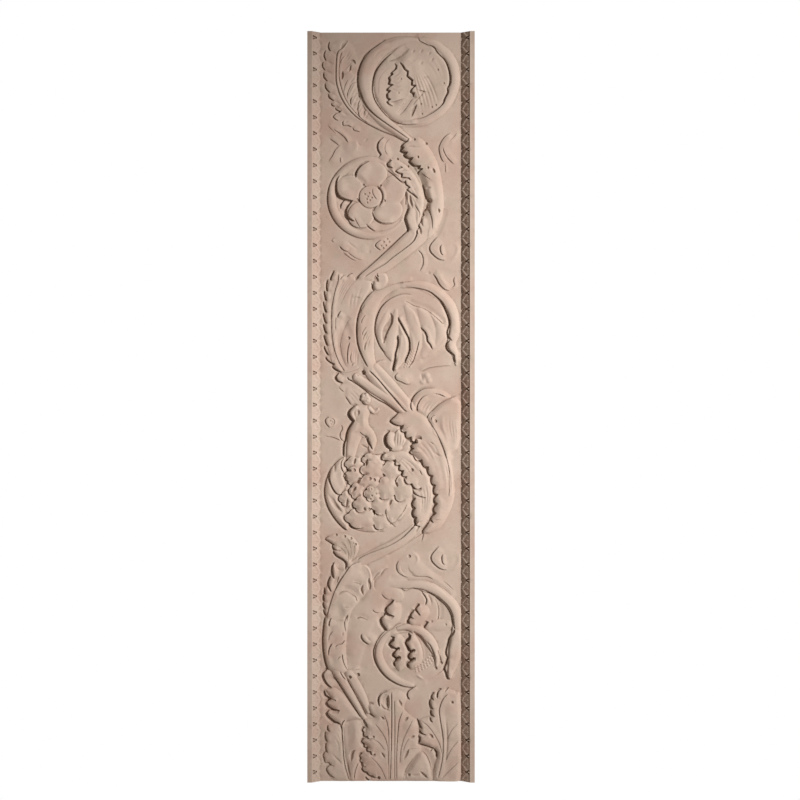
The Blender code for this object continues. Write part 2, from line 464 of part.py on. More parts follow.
def collar_three(r):
    # the collar, and the two strands of the stem that part from it
    for spine, w in ((line(12, 373, -3, 384, -19, 394, -35, 405), (10, 9, 9, 8)), (line(20, 373, 8,
        388, -3, 401, -16, 415), (11, 10, 10, 9))):
        stem(r, spine, w, (0.4, 0.4, 0.38, 0.36), foot=0.14)
    edge(r, line(-41, 402.5, -33, 398, -20, 387.5, -3, 377.5, 8, 369), 0.07, 5, (0.2, 0.2, 0.2, 0.26,
        0.2, 0.2), 2.6)
    edge(r, line(-22, 412, -11, 401.5, 5, 383, 16, 370.5), 0.07, 5, 0.24, 2.8)
    swell(r, at(-39, 406), 16, 5, 12, 0.22)
    edge(r, line(-52, 409.5, -54.7, 405.5, -52.5, 401.7, -48, 399.5), 0.23, 8, 0.33, 4, fade=2)
    drill(r, at(-27.7, 409.7), 2.2, 0.38)
    # a bird's head, and what it sits under
    swell(r, at(12, 404), 10, 6, -15, 0.19)
    edge(r, line(7.5, 409.5, 4.3, 406.5, 6, 402.5, 16.5, 398, 20, 400), 0.11, 8, (0.07, 0.16, 0.11,
        0.13, 0.03), 1.8, fade=2)
    # the leaf that curls like a hood
    patch(r, line(22, 371, 21.5, 381, 26, 388.5, 34, 392.5, 46, 393.5, 56, 390, 60, 384, 50, 379, 42,
        372, 37, 364), 0.24, 6, 0.1)
    edge(r, line(45, 394, 34, 393.4, 27, 390, 22.2, 384, 20.2, 377.5, 21.5, 371), 0.11, 10, (0.03, 0.2,
        0.33, 0.33, 0.2), 3)
    edge(r, line(37, 387, 32, 385, 28.5, 380.5, 26.7, 375.5, 27, 369), 0.11, 8, (0.03, 0.16, 0.24,
        0.2), 2.2)
    edge(r, line(42, 389, 47, 388.4, 50, 387.7, 55, 385.5), 0.05, 4, (0.03, 0.11, 0.26, 0.07), 2.2,
        fade=2)
    # the bird that looks down from the right
    patch(r, line(61, 385, 70, 380, 70, 358, 69, 342, 66, 333, 60, 327, 55, 319, 47, 340, 40, 347, 39,
        358, 38, 366, 45, 374, 53, 380), 0.26, 5, 0.1)
    edge(r, line(67, 386.7, 49.5, 378.6, 38.3, 368, 36.6, 363.5, 38.5, 358), 0.11, 10, (0.04, 0.08,
        0.13, 0.16, 0.2, 0.16), 2)
    edge(r, line(39, 358, 38, 352.5, 40.3, 346.5, 46, 342, 49.5, 336, 52, 327.5, 55.5, 319), 0.16, 11,
        (0.07, 0.16, 0.17, 0.17, 0.2, 0.2), 2.2)
    crease(r, line(52, 370, 52, 356, 56, 344, 58, 332), 4, -0.1)


def putto(r):
    # a small winged child, standing
    patch(r, line(-45, 397, -38, 394, -29, 388, -26, 381, -31, 376, -39, 377, -46, 386), 0.14, 4, 0.07)
    patch(r, line(-37, 377, -22, 376, -19, 371, -21, 363, -20, 355, -18, 348, -25, 344, -35, 346, -41,
        350, -36, 358, -34, 365, -38, 371), 0.46, 6, 0.14)
    stem(r, line(-33, 358, -36, 348, -39, 336, -41, 324), (13, 14, 11, 8), (0.42, 0.4, 0.34, 0.26),
        foot=0.2)
    stem(r, line(-27, 355, -20, 348, -17, 340, -20, 332), (12, 12, 9, 7), (0.44, 0.4, 0.34, 0.26),
        foot=0.2)
    stem(r, line(-35, 374, -39, 369, -36, 362), (6, 6, 4), 0.4, foot=0.2)
    stem(r, line(-22, 374, -17, 370, -13, 373), (5, 4, 3), (0.36, 0.3, 0.2), foot=0.2)
    edge(r, line(-33.5, 377.5, -38.5, 374.5, -41.5, 370, -40, 365.5, -36.3, 361.7), 0.14, 6, (0.13,
        0.26, 0.4, 0.4, 0.26), 3.4, fade=2)
    edge(r, line(-36, 362, -42.7, 352, -44.5, 344, -46.7, 337, -47.3, 325.5), 0.18, 8, (0.33, 0.33,
        0.33, 0.33, 0.26), 3.4, fade=2)
    edge(r, line(-23, 345.3, -22.3, 341, -20, 337, -18.3, 332.5), 0.07, 5, 0.33, 2.6, fade=2)
    cut(r, line(-33, 372.5, -32.7, 369, -33.3, 365.5), 4, 0.3)
    crease(r, line(-29, 375, -28, 364, -28, 354), 4, -0.06)
    edge(r, line(-27, 327.7, -17, 327.7, -5, 328.3), 0.06, 5, (0.07, 0.13, 0.26), 2)
    # its head: brow, nose and mouth, calm and plain
    blob(r, at(-25, 383), 5.2, 6, 20, 0.62, foot=0.25)
    for curl in line(-29.2, 385.5, -28.4, 388.2, -25.4, 389.4, -22.2, 388.4):
        blob(r, curl, 1.8, 1.8, 0, 0.6, foot=0.5)
    # a small flower on its tendrils
    swell(r, at(-60.5, 360.5), 6, 6, 0, 0.16)


def leaf_four(r):
    # the long leaf down from the stems: ragged down its left, smooth and full down its right
    patch(r, line(7, 369, 17, 374, 29, 371, 39, 361, 49, 348, 56, 334, 61, 316, 64, 296, 63, 282, 58,
        268, 49, 254, 35, 248, 32, 251, 39, 262, 44, 274, 43, 288, 39, 304, 30, 320, 21, 330, 21, 338,
        11, 348, 10, 355, 0, 361), 0.4, 7, 0.1)
    edge(r, line(7.5, 369.5, 4, 365.5, 0, 361.5, 5, 357.7, 11.5, 356), 0.16, 9, (0.13, 0.29, 0.29,
        0.2), 3, fade=2)
    edge(r, jagged(line(10, 357, 12, 352, 16, 347, 23, 341.5), 3, 2.2, 0.6), 0.14, 8, (0.33, 0.33, 0.4,
        0.33), 3.6, fade=2, smooth=False)
    edge(r, jagged(line(31, 342.5, 24, 339.5, 20.5, 335, 19.5, 328), 3, 2.4, 0.6), 0.18, 9, 0.33, 3.6,
        fade=2, smooth=False)
    edge(r, line(20, 327.5, 32, 320.5, 31, 318, 38, 313, 38.5, 310, 37, 308, 40.5, 303, 42, 298, 41.5,
        295, 46.5, 287.5), 0.14, 10, 0.24, 2.6, smooth=False)
    edge(r, line(43, 288, 43, 279, 45, 273.5, 41.5, 270, 40, 265, 42, 259.5), 0.16, 9, 0.33, 3, fade=2)
    edge(r, line(39.5, 262, 36, 256, 32.5, 251.5, 32, 248), 0.16, 9, 0.26, 2.6, fade=2)
    for ridge in (line(27, 358, 39, 344, 49, 327, 54, 308, 55, 290), line(33, 338, 43, 324, 49, 308,
        50, 292)):
        crease(r, ridge, 5, -0.07)


def inner_leaf_four(r):
    # the ribbed bud in the fork
    blob(r, at(1.3, 341), 6, 9.5, 12, 0.36, foot=0.25)
    blob(r, at(8.5, 343.5), 6.5, 9.5, -12, 0.42, foot=0.2)
    blob(r, at(5, 335), 6.5, 4.5, 0, 0.38, foot=0.2)
    edge(r, line(-0.5, 351.5, -3.7, 347.5, -4.7, 342.5, -3.2, 337.5, 1.5, 333.2), 0.23, 8, (0.26, 0.4,
        0.4, 0.4, 0.2), 4, fade=2)
    # the lower leaf: lobes that turn over the flower
    patch(r, line(-8, 329, 1, 331, 12, 331, 21, 327, 30, 319, 38, 308, 42, 294, 42, 279, 39, 268, 32,
        254, 26, 258, 22, 268, 22, 282, 20, 294, 13, 299, 11, 306, 6, 313, 4, 320, -8, 323), 0.36, 5,
        0.14)
    edge(r, line(-5, 329, -8.7, 326.5, -8.5, 322.5, -2, 321.5, 4, 322), 0.18, 7, (0.33, 0.4, 0.33,
        0.2), 3.4, fade=2)
    edge(r, jagged(line(4, 323, 5, 317, 6.5, 312), 2, 3, 0.6), 0.14, 6, 0.33, 3, fade=1.5, smooth=False)
    edge(r, line(7, 312.5, 13, 312, 16, 309.7, 12, 305.5, 11.7, 303, 14.5, 300.5), 0.14, 6, 0.26, 2.6,
        fade=2)
    edge(r, line(18, 301.3, 22, 299.5, 24, 296, 30, 294.5), 0.09, 6, 0.24, 2.4, fade=2)
    edge(r, line(21.5, 294, 24, 289, 29, 286, 35, 284.5), 0.09, 6, 0.24, 2.4, fade=2)
    edge(r, line(22.7, 283, 21.7, 277, 24, 273, 28, 270), 0.14, 7, 0.26, 2.6, fade=2)
    edge(r, line(22, 270, 22, 265.5, 24, 261, 27.5, 257), 0.14, 7, 0.26, 2.6, fade=2)


def volute_four(r):
    # the leaf that cups the flower
    patch(r, line(-47, 325, -54, 320, -61, 311, -65, 300, -66, 287, -63, 275, -57, 265, -44, 252, -42,
        264, -46, 277, -45, 307), 0.26, 5, 0.12)
    edge(r, line(-46.5, 325.5, -53.5, 321, -60, 313.5, -64, 304.5, -66.2, 294.5, -65.7, 284, -62,
        273.3, -56, 263.5, -50, 256.5, -43.5, 251.5), 0.09, 8, (0.13, 0.16, 0.2, 0.24, 0.26, 0.29), 2.8)
    edge(r, line(-60.5, 311.5, -61.7, 305, -56.7, 291.5, -52.5, 287.5, -48, 287.3), 0.14, 8, (0.2,
        0.29, 0.33, 0.2), 2.8)
    edge(r, line(-47.3, 324, -49.7, 319, -49, 313, -46, 307.5), 0.11, 8, 0.2, 2.2)
    # the flower, full of ruffled petals
    patch(r, line(-46, 308, -38, 321, -25, 327, -9, 326, 6, 316, 18, 304, 22, 290, 17, 274, 7, 260, -7,
        251, -25, 251, -41, 257, -48, 272, -50, 285), 0.4, 9, 0.12)
    for place, across, up, turn, rise in ((at(-37, 298), 8, 8, 0, 0.16), (at(-42, 283), 6, 6, 0, 0.16),
        (at(-30, 264), 12, 7, 0, 0.22),
                                          (at(-13, 266), 6, 12, -15, 0.2), (at(-28, 279), 7, 5, 0,
                                              0.24), (at(-30, 290), 8, 6, 0, 0.26),
                                          (at(-25, 302), 9, 6, 0, 0.24), (at(-18, 313), 7, 9, 30, 0.2),
                                              (at(1, 312), 10, 9, -30, 0.18),
                                          (at(11, 290), 10, 12, -20, 0.24), (at(0, 266), 7, 11, -25,
                                              0.18), (at(-40, 318), 7, 5, 30, 0.2),
                                          (at(-8, 295), 7, 6, 20, 0.2), (at(-7, 283), 6, 6, 0, 0.18)):
        swell(r, place, across, up, turn, rise)
    edge(r, line(-45, 311, -45.5, 306, -44.5, 301.5, -41, 297.5, -44.5, 294.5, -41.7, 291.7, -45,
        288.5), 0.16, 8, 0.4, 4.5, fade=2, smooth=False)
    edge(r, line(-45, 288.7, -49.3, 285.5, -48.7, 282.5, -43.8, 276, -43.5, 273.5, -40, 271), 0.16, 8,
        (0.2, 0.33, 0.33, 0.4, 0.4, 0.26), 3, fade=2)
    edge(r, line(-39, 278.5, -41, 275, -40.5, 271.5, -36.5, 271.7), 0.05, 5, 0.26, 2, fade=1.5)
    edge(r, line(-40.5, 271.5, -44.3, 267, -43, 262.5, -39.5, 259, -31.5, 254.3), 0.14, 9, (0.26, 0.33,
        0.26, 0.4, 0.4), 3, fade=2)
    edge(r, line(-32, 254.5, -25, 253.7, -19.5, 257.5, -16.5, 255, -12, 252.5, -6, 250.8), 0.07, 7,
        (0.2, 0.2, 0.07, 0.4, 0.26, 0.13), 2.4)
    edge(r, line(-37.5, 293.5, -39, 290, -37, 285.7, -31.7, 283.7), 0.16, 8, (0.2, 0.4, 0.4, 0.26), 3,
        fade=2)
    edge(r, line(-32.3, 283, -35.5, 281.5, -35.7, 277.5, -33.5, 274.3, -30, 272.7, -25, 272.7), 0.11,
        7, (0.2, 0.33, 0.2, 0.26, 0.33), 2.6, fade=2)
    edge(r, line(-27, 319.5, -29, 315.5, -26.3, 307, -29.5, 303.3, -31.7, 299.5, -30.5, 295.5), 0.16,
        9, (0.33, 0.4, 0.2, 0.2, 0.4, 0.4), 3, fade=2)
    drill(r, at(-29, 315), 2, 0.38)
    edge(r, line(-21.5, 325.5, -24.7, 321.5, -23, 318, -20, 315.3, -16.5, 313.5), 0.14, 7, (0.26, 0.46,
        0.33, 0.26), 3, fade=1.5)
    cut(r, line(-33.7, 326.5, -34, 322, -34.2, 317.5), 4.4, 0.45)
    edge(r, line(-18.5, 270.5, -15, 268.3, -10, 268.3), 0.06, 5, (0.33, 0.2, 0.07), 1.8, fade=2)
    # its whorled heart, and the far petals
    swell(r, at(-18, 288), 7, 7, 0, 0.11)
    edge(r, line(-1, 280.5, 2.5, 275.7, 8.5, 271.7), 0.09, 6, (0.4, 0.2, 0.07), 2.4, fade=1.5)
    edge(r, line(6.7, 304, 4.7, 300.5, 6.7, 296, 6, 292), 0.06, 5, (0.2, 0.33, 0.07), 2.2, fade=1.5)
    crease(r, line(-13, 300, -5, 297, 0, 289, 3, 280), 4, 0.06)


def stem_four(r):
    # the stem that runs down from both leaves
    stem(r, line(-39, 216, -11, 230, 3, 237, 15, 245, 24, 253, 32, 263), (10, 11, 11, 11, 11, 10, 8),
        0.34, foot=0.16)
    edge(r, line(28.5, 261, 15, 247, -2, 236, -24, 227.5, -34, 222), 0.07, 6, (0.33, 0.26, 0.2, 0.13,
        0.11, 0.16, 0.2), 2.8)


def fan_leaf(r):
    # the leaf that spreads like a fan, and the bird over the last ring
    patch(r, line(-65.5, 243, -60, 247, -52, 248.5, -44, 247.5, -37, 243.5, -32.5, 236, -34, 228, -44,
        213, -45.5, 219, -53, 225, -58, 231, -57.5, 237), 0.3, 4, 0.12)
    edge(r, line(-62, 246, -65.7, 243, -62, 240.3, -57.3, 237.3), 0.11, 6, (0.07, 0.2, 0.26), 2, fade=2)
    edge(r, line(-57.3, 237.5, -58.5, 235.3, -56, 232.6, -50.5, 231.7), 0.11, 5, (0.33, 0.33, 0.13),
        2.4, fade=1.5)
    edge(r, line(-58, 231.3, -54.5, 226.5, -49, 223.7, -45.3, 220.3, -44.3, 217, -45.5, 212), 0.14, 7,
        (0.26, 0.26, 0.33, 0.33), 2.6, fade=2)
    patch(r, line(8, 223, 15, 229, 23, 230, 28, 224, 36, 216, 47, 207, 58, 199, 65, 190, 61, 183, 50,
        192, 39, 200, 23, 201, 11, 204.5, 6, 212, 6, 219), 0.24, 6, 0.09)


def leaf_five(r):
    # the broad leaf at the left of the last volute: a toothed side, a rib, and folded lobes
    patch(r, line(-43, 215, -35, 220, -26, 218, -20, 209, -20, 196, -26, 186, -39, 170, -42, 160, -45,
        132, -44, 110, -54, 109, -63, 113, -67, 126, -68, 142, -67, 157, -66, 170, -68, 182, -66, 192,
        -61, 205, -58, 218, -52, 212), 0.34, 5, 0.14)
    for tooth in (line(-57, 219.5, -58.6, 213, -57, 203), line(-60.3, 205.5, -62.6, 198.5, -59.8, 190)):
        edge(r, tooth, 0.14, 6, 0.29, 2.6, fade=2)
    serrate(r, line(-66.3, 194.5, -67.7, 184, -67.7, 174, -66.3, 165), 4, 1.8)
    edge(r, line(-65.7, 165, -67.3, 153, -68, 141, -65.7, 121.5, -62.5, 111), 0.16, 8, (0.2, 0.24,
        0.24, 0.26, 0.26), 2.4)
    edge(r, line(-30, 219.7, -41, 215.5, -56.5, 190.5, -64.5, 163), 0.11, 8, (0.07, 0.13, 0.11, 0.09,
        0.09, 0.11), 2.8)
    # lobes
    swell(r, at(-26, 210), 5, 7, 25, -0.19)
    cut(r, line(-22.4, 203, -22.3, 199, -21.5, 192.5), 4.2, 0.45)
    swell(r, at(-44, 209), 10, 9, 35, 0.16)
    swell(r, at(-49, 181), 9, 9, 0, 0.14)
    swell(r, at(-51, 170), 4, 6, 0, -0.14)
    edge(r, line(-42.5, 166, -45.5, 162.5, -46.3, 156, -45, 149), 0.07, 7, (0.26, 0.13, 0.07), 2.4)
    edge(r, line(-46, 141.5, -49, 137.7, -53, 136.7, -56.5, 134.5), 0.07, 5, (0.13, 0.26, 0.13, 0.2),
        1.9, fade=2)
    edge(r, line(-59, 138, -61.7, 133, -62.7, 126), 0.11, 6, (0.26, 0.26, 0.07), 2.2, fade=2)
    edge(r, line(-48.7, 128, -48, 122, -46, 116, -43, 111), 0.07, 6, (0.24, 0.2, 0.13, 0.07), 2)
    for lobe in line(-54, 152, -54, 130, -53, 116):
        swell(r, lobe, 6, 7, 0, 0.16)
    # a bud on the ground beside it
    swell(r, at(-21, 142), 7, 6, -20, 0.22)
    edge(r, line(-30, 146.3, -27.3, 141.5, -22.5, 136.2), 0.11, 6, 0.29, 2.4, fade=2)


def volute_five(r):
    # the rim, thick at the right
    band(r, line(59, 104, 65, 130, 67, 160, 64, 173, 55, 184.5, 42, 193.5, 29, 197.5, 14, 197, 0,
        196.5), (4, 10, 14, 12, 10, 12, 13, 12, 10, 8, 5), (0.2, 0.34, 0.4, 0.4, 0.4, 0.4, 0.4, 0.36,
        0.26, 0.16), foot=0.24, soft=0.8)
    edge(r, line(10, 193.5, 14.5, 191, 21, 194, 33, 190, 39, 189.3, 46, 186, 53, 180.7, 59, 174, 62,
        167, 64.5, 152), 0.11, 9, (0.13, 0.07, 0.16, 0.2, 0.2, 0.26, 0.33, 0.33), 2.8)
    edge(r, line(64.5, 152.5, 63, 148, 59.5, 143.3, 56, 128, 58, 123.5), 0.16, 9, (0.26, 0.26, 0.33,
        0.33, 0.33), 3.2, fade=2)
    edge(r, line(58, 124, 56.3, 118, 54.3, 113, 56.3, 108, 59, 101.5), 0.16, 7, (0.4, 0.4, 0.33, 0.26),
        3.4, fade=2)
    # thin stems under the rim
    edge(r, line(30.5, 190.5, 34.3, 186, 36.5, 181, 34.5, 176.2), 0.07, 4, (0.13, 0.24, 0.33, 0.26),
        2.2, fade=2)
    # the lobed leaves that overlap the inner ring
    patch(r, line(2, 181, 9, 179, 11, 171, 9, 162, 3, 155, -3, 151, -8, 157, -9, 164, -4, 169, -4,
        175), 0.4, 5, 0.12)
    patch(r, line(29, 178, 36, 176, 39, 169, 34, 160, 25, 155, 18, 158, 18, 165, 22, 171), 0.4, 5, 0.12)
    patch(r, line(37, 160, 45, 162, 59, 161, 62, 154, 51, 150, 40, 151, 34, 153), 0.3, 4, 0.1)
    edge(r, line(3.5, 181.5, 0.5, 178, -3.3, 174.7, -4.5, 170.7, -2.3, 168, 3.5, 165.7), 0.16, 7,
        (0.33, 0.46, 0.46, 0.46, 0.33), 5, fade=2)
    edge(r, line(-5, 167.5, -9.2, 163, -8.3, 158, -5, 153.5, -3.7, 150.5), 0.16, 7, (0.33, 0.46, 0.46,
        0.4), 5, fade=2)
    edge(r, line(29.3, 177.5, 25.7, 173, 27.7, 169.3, 30, 165.7), 0.14, 7, (0.4, 0.46, 0.24, 0.13),
        3.4, fade=2)
    edge(r, line(24, 171.5, 21, 168, 20.3, 165.3, 23, 163.3), 0.09, 5, (0.4, 0.46, 0.33), 3.4, fade=2)
    edge(r, line(20.5, 165, 18, 161.3, 19, 158, 24, 155.3), 0.14, 7, (0.4, 0.46, 0.4, 0.2), 4, fade=2)
    # the inner ring, and the leaves curled in it
    band(r, line(22, 96, 10.5, 99.5, -0.7, 107, -8.5, 117, -12, 127.5, -10.3, 137, -4.5, 145.5, 4,
        151.5), (4, 8, 9, 9, 9, 8, 7, 5), (0.2, 0.34, 0.38, 0.4, 0.36, 0.3, 0.24), foot=0.24, soft=0.9)
    stem(r, line(7, 153, 16, 154.5, 26, 151.5, 35, 145, 42, 136, 46, 125, 46, 116), (4, 7, 10, 11, 10,
        7, 3), (0.26, 0.34, 0.44, 0.46, 0.4, 0.2), foot=0.14)
    edge(r, line(-3.5, 152.5, -12.7, 142.5, -17.2, 130, -16, 122, -7, 107.3, 0, 101.5, 16, 94.5, 23,
        93.3), 0.11, 8, (0.13, 0.2, 0.33, 0.33, 0.33, 0.26, 0.26, 0.2), 3)
    edge(r, line(26, 95.3, 20.5, 92.3, 17.3, 89, 17, 85.3, 19, 81.5), 0.09, 6, (0.07, 0.24, 0.33,
        0.33), 2.6, fade=2)
    patch(r, line(0, 145, 8, 148, 15, 140, 17, 128, 15, 117, 9, 110, 4, 115, 6, 122, 3, 127, 0, 137),
        0.34, 5, 0.12)
    patch(r, line(18, 148, 25, 147, 30, 139, 32.5, 128, 30, 118, 22, 112, 17, 115, 19, 124, 15.5, 139),
        0.42, 5, 0.12)
    for leaf_line, deep in ((line(-0.5, 145.5, 3.5, 144.7, 3, 141.3, -1, 137.3, 5.5, 133.3, 9, 134.3),
        0.6),
                            (line(9, 134, 5, 130.7, 3, 126.3, 5.5, 123.5, 10, 125.3), 0.6), (line(10,
                                125, 6.5, 122.3, 3.7, 118.7, 4.7, 115), 0.6),
                            (line(17.5, 149, 20.3, 146.3, 19.3, 142.5, 15.3, 138.7, 20, 131.3, 24.5,
                                132.3), 0.7),
                            (line(24.5, 132, 20, 128.7, 18.3, 125, 20.3, 122.5, 24.5, 124.3), 0.7),
                                (line(24.5, 124, 21, 120.7, 17.3, 117.7, 19.3, 114), 0.6)):
        edge(r, leaf_line, 0.14, 7, (0.4 * deep, deep, deep, deep, 0.6 * deep), 3.4, fade=1.5,
            smooth=False)
    cut(r, line(23, 149.5, 28.5, 144.5, 32.5, 138, 34.3, 130, 33.5, 121), 6.5, 0.6)


def collar_five(r):
    # the last collar, over the strands of the root
    for spine, w in ((line(-58, 108, -47, 90, -36, 71, -27, 56), (9, 10, 10, 9)), (line(-48, 106, -38,
        90, -29, 73, -22, 58), (9, 10, 10, 9)),
                     (line(-37, 104, -29, 90, -22, 78, -16, 66), (10, 11, 10, 8))):
        stem(r, spine, w, (0.36, 0.4, 0.4, 0.3), foot=0.14)
    swell(r, at(-47, 108), 19, 5, 0, 0.27)
    edge(r, line(-60.5, 108.5, -57, 102.5, -43.5, 83, -30, 62.5), 0.07, 5, 0.24, 2.4)
    edge(r, line(-51, 110.5, -48.5, 106.3, -45.5, 102), 0.07, 4, 0.24, 2, fade=2)
    edge(r, line(-44, 103.5, -39, 94, -33.7, 83.5, -29, 74, -24.5, 64.5), 0.07, 5, 0.29, 2.8)
    edge(r, line(-63, 112.5, -67.3, 108.3, -67, 103.5, -64, 98, -59, 93.3), 0.18, 8, (0.26, 0.4, 0.4,
        0.4, 0.2), 4.4, fade=2)


def foot_leaves(r):
    # the sheath at the left, ragged against the moulding
    patch(r, line(-66, 92, -57, 94, -47, 86, -38, 74, -30, 63, -38, 61.5, -45, 60, -50, 54, -56, 60,
        -62, 65, -64, 70, -57, 72, -62, 76, -64, 79, -60, 82.5), 0.42, 6, 0.14)
    edge(r, line(-67, 91.5, -65.3, 86.5, -59.5, 82.7, -64.5, 79.3, -62.3, 75.3, -57.5, 72.3, -51.5,
        71.7), 0.18, 8, (0.33, 0.46, 0.46, 0.46, 0.46, 0.4), 4.6, fade=2, smooth=False)
    edge(r, line(-61.5, 71.3, -63.7, 68, -56, 60.3, -51, 58, -50.3, 52.5), 0.18, 8, (0.33, 0.46, 0.4,
        0.33, 0.4), 4.4, fade=2)
    # the left leaf: a side of small teeth, a rib, and a side of broad lobes
    patch(r, line(-63, 56, -55, 58, -49, 52, -45, 17, -42, 1, -57, 1, -64, 9, -65, 14, -60, 17.5, -66,
        21, -67.5, 26, -65, 32, -66, 44, -64, 51), 0.34, 4, 0.14)
    patch(r, line(-47, 58, -41, 61.5, -33, 62, -29, 55, -29.5, 44, -28, 34, -31, 29, -30, 19, -33, 11,
        -35, 1, -41, 1, -45, 18, -47, 37), 0.38, 5, 0.14)
    for tooth in (line(-63.3, 56.5, -63.3, 53, -61, 49.7), line(-65.7, 50, -65.7, 45, -63.3, 39),
        line(-64.7, 38.5, -65.3, 33.5, -63.3, 28.3)):
        edge(r, tooth, 0.14, 6, 0.29, 2.4, fade=2)
    edge(r, line(-66, 29.7, -67.7, 24.5, -65.7, 20.3, -61.5, 18.3, -57, 16.7), 0.14, 7, (0.26, 0.29,
        0.24, 0.13), 2.4, fade=2)
    edge(r, line(-59.5, 16.7, -64, 13.7, -63.5, 10, -60.5, 6.3, -56.5, 4), 0.14, 7, (0.13, 0.26, 0.26,
        0.26), 2.4, fade=2)
    edge(r, line(-46, 61.5, -49, 56.5, -48, 38, -46, 16, -42, 1), 0.11, 6, (0.46, 0.4, 0.26, 0.24, 0.2,
        0.2), 2.6)
    swell(r, at(-42, 49), 5, 12, 0, -0.19)
    cut(r, line(-36.5, 31.3, -39.3, 28, -40.3, 20.5), 4, 0.38)
    for lobe in line(-38, 52, -36, 38, -36, 19, -58, 44, -58, 25, -54, 9):
        swell(r, lobe, 5, 7, 0, 0.14)
    # the great leaf in the middle, its tip turned down over it
    patch(r, line(0, 92, -10, 88, -13, 80, -22, 77.5, -23, 71, -17, 64, -27, 61, -25, 50, -29, 41, -23,
        34, -30.5, 27, -29, 17, -30, 13, -19, 5, -19, 1, 12, 1, 14, 11, 22, 22, 30, 30, 29, 40, 27, 60,
        21, 65, 13, 73, 16, 84, 9, 91), 0.42, 8, 0.12)
    edge(r, line(-17, 76.7, -21.5, 77.5, -24, 74.7, -21.5, 71, -20, 68, -16, 64.7), 0.14, 7, (0.2,
        0.26, 0.26, 0.26, 0.26), 2.4, fade=2)
    edge(r, line(-27, 64.5, -26.7, 61, -24.5, 57.7, -23, 53.3), 0.11, 6, 0.26, 2.4, fade=2)
    edge(r, line(-27.7, 53, -27, 48.7, -24.3, 46, -19.5, 44.3), 0.18, 8, (0.4, 0.53, 0.33, 0.13), 4,
        fade=2)
    edge(r, line(-24.7, 43.7, -28.7, 40.3, -26.3, 37.3, -23, 36, -23.5, 33, -16.3, 28.5), 0.18, 8,
        (0.26, 0.46, 0.4, 0.4, 0.4, 0.46), 4, fade=2, smooth=False)
    edge(r, line(-30.3, 28.3, -30.5, 23.5, -29, 18.5, -25, 15.7), 0.16, 8, (0.26, 0.4, 0.4, 0.2), 3,
        fade=2)
    edge(r, line(-30, 15.3, -26.5, 11, -22, 7.7, -17, 5.7, -11.5, 5), 0.16, 8, (0.33, 0.4, 0.46, 0.2,
        0.2), 3.4, fade=2)
    edge(r, line(-3, 90, -9, 87.5, -12, 82.5, -11, 75), 0.11, 5, (0.07, 0.2, 0.4, 0.4), 2.8, fade=2)
    swell(r, at(-7, 81), 3.5, 8, -8, -0.27)
    cut(r, line(-3, 85.5, -4, 79.5, -3.5, 72.5), 5, 0.52)
    for rib, deep in ((line(0.7, 90, 1, 67, 0.5, 34, -0.3, 1), 0.3), (line(3.7, 82, 4, 52, 4, 27, 4,
        1), 0.16),
                      (line(11.7, 70, 8.3, 60, 7, 46, 6, 30, 6, 1), 0.2), (line(-7, 67, -3.3, 57, -2,
                          40, -2, 1), 0.12)):
        edge(r, rib, 0.06, 4, deep, 1.8)
    for lobe, turn in zip(line(-17, 71, -19, 39, -20, 23, -9, 74, 20, 55, 17, 25), (40, 40, 40, 40, 0,
        -30, -30, -30)):
        swell(r, lobe, 7, 5, -turn, 0.14)
    # the leaf between, and the right leaf against the moulding
    patch(r, line(13, 1, 16, 10, 22, 20, 30, 29, 36, 24, 40, 14, 40.5, 1), 0.34, 5, 0.14)
    patch(r, line(56, 92.5, 47, 91, 41, 85, 39, 76, 40, 66, 29, 62, 28, 52, 28, 40, 47, 29, 43, 1, 69,
        1, 70, 80, 65, 90), 0.36, 5, 0.12)
    for tooth in (line(51, 92.5, 47.7, 89.3, 46.7, 83), line(43.7, 89, 41.3, 85.3, 43, 81.3),
        line(39.7, 82.3, 39.7, 77.7, 42.7, 72),
                  line(40.3, 71.7, 41, 68, 44, 65), line(39.3, 64.7, 40.3, 62, 42.3, 59.3)):
        edge(r, tooth, 0.11, 6, 0.33, 2.8, fade=2)
    edge(r, line(57, 87.7, 52.5, 82.5, 49, 68, 51.7, 50, 52.7, 39, 52.3, 27, 50.7, 16, 47.5, 3), 0.09,
        6, (0.13, 0.24, 0.26, 0.2, 0.16, 0.13, 0.11), 2.4)
    edge(r, line(26.5, 63, 29, 58, 31.7, 53), 0.14, 7, 0.4, 3, fade=1.5)
    edge(r, line(27.3, 46, 31, 41.7, 29.3, 38, 36, 36, 43.5, 33), 0.16, 8, (0.4, 0.53, 0.4, 0.26, 0.4),
        3.6, fade=2)
    edge(r, line(43.5, 32.7, 46.7, 28.7, 46.3, 23.3), 0.09, 6, (0.33, 0.46, 0.33), 3.4, fade=1.5)
    for lobe in line(60, 72, 62, 49, 61, 30, 36, 54, 38, 41, 45, 62, 26, 16, 64, 10):
        swell(r, lobe, 6, 7, 0, 0.14)


def carve(relief):
    """The whole scroll, laid on from the lowest forms to the highest."""
    upper_birds(relief)
    small_things(relief)
    stem_one(relief)
    volute_one(relief)
    five_petals(relief)
    calyx_two(relief)
    leaf_three(relief)
    volute_three(relief)
    collar_three(relief)
    putto(relief)
    stem_four(relief)
    volute_four(relief)
    inner_leaf_four(relief)
    leaf_four(relief)
    fan_leaf(relief)
    leaf_five(relief)
    volute_five(relief)
    foot_leaves(relief)
    collar_five(relief)


def heights(across, up):
    """Heights of the whole face over the ground, in metres, for columns and rows of places."""
    field = PANEL_WIDTH - 2 * (FILLET_WIDTH + MOULDING_WIDTH)
    relief = Relief(across * FIELD_SQUARES / field, up * HEIGHT_SQUARES / PANEL_HEIGHT)
    carve(relief)
    return edge_mouldings(across, up, relief.h * CARVING_RISE)


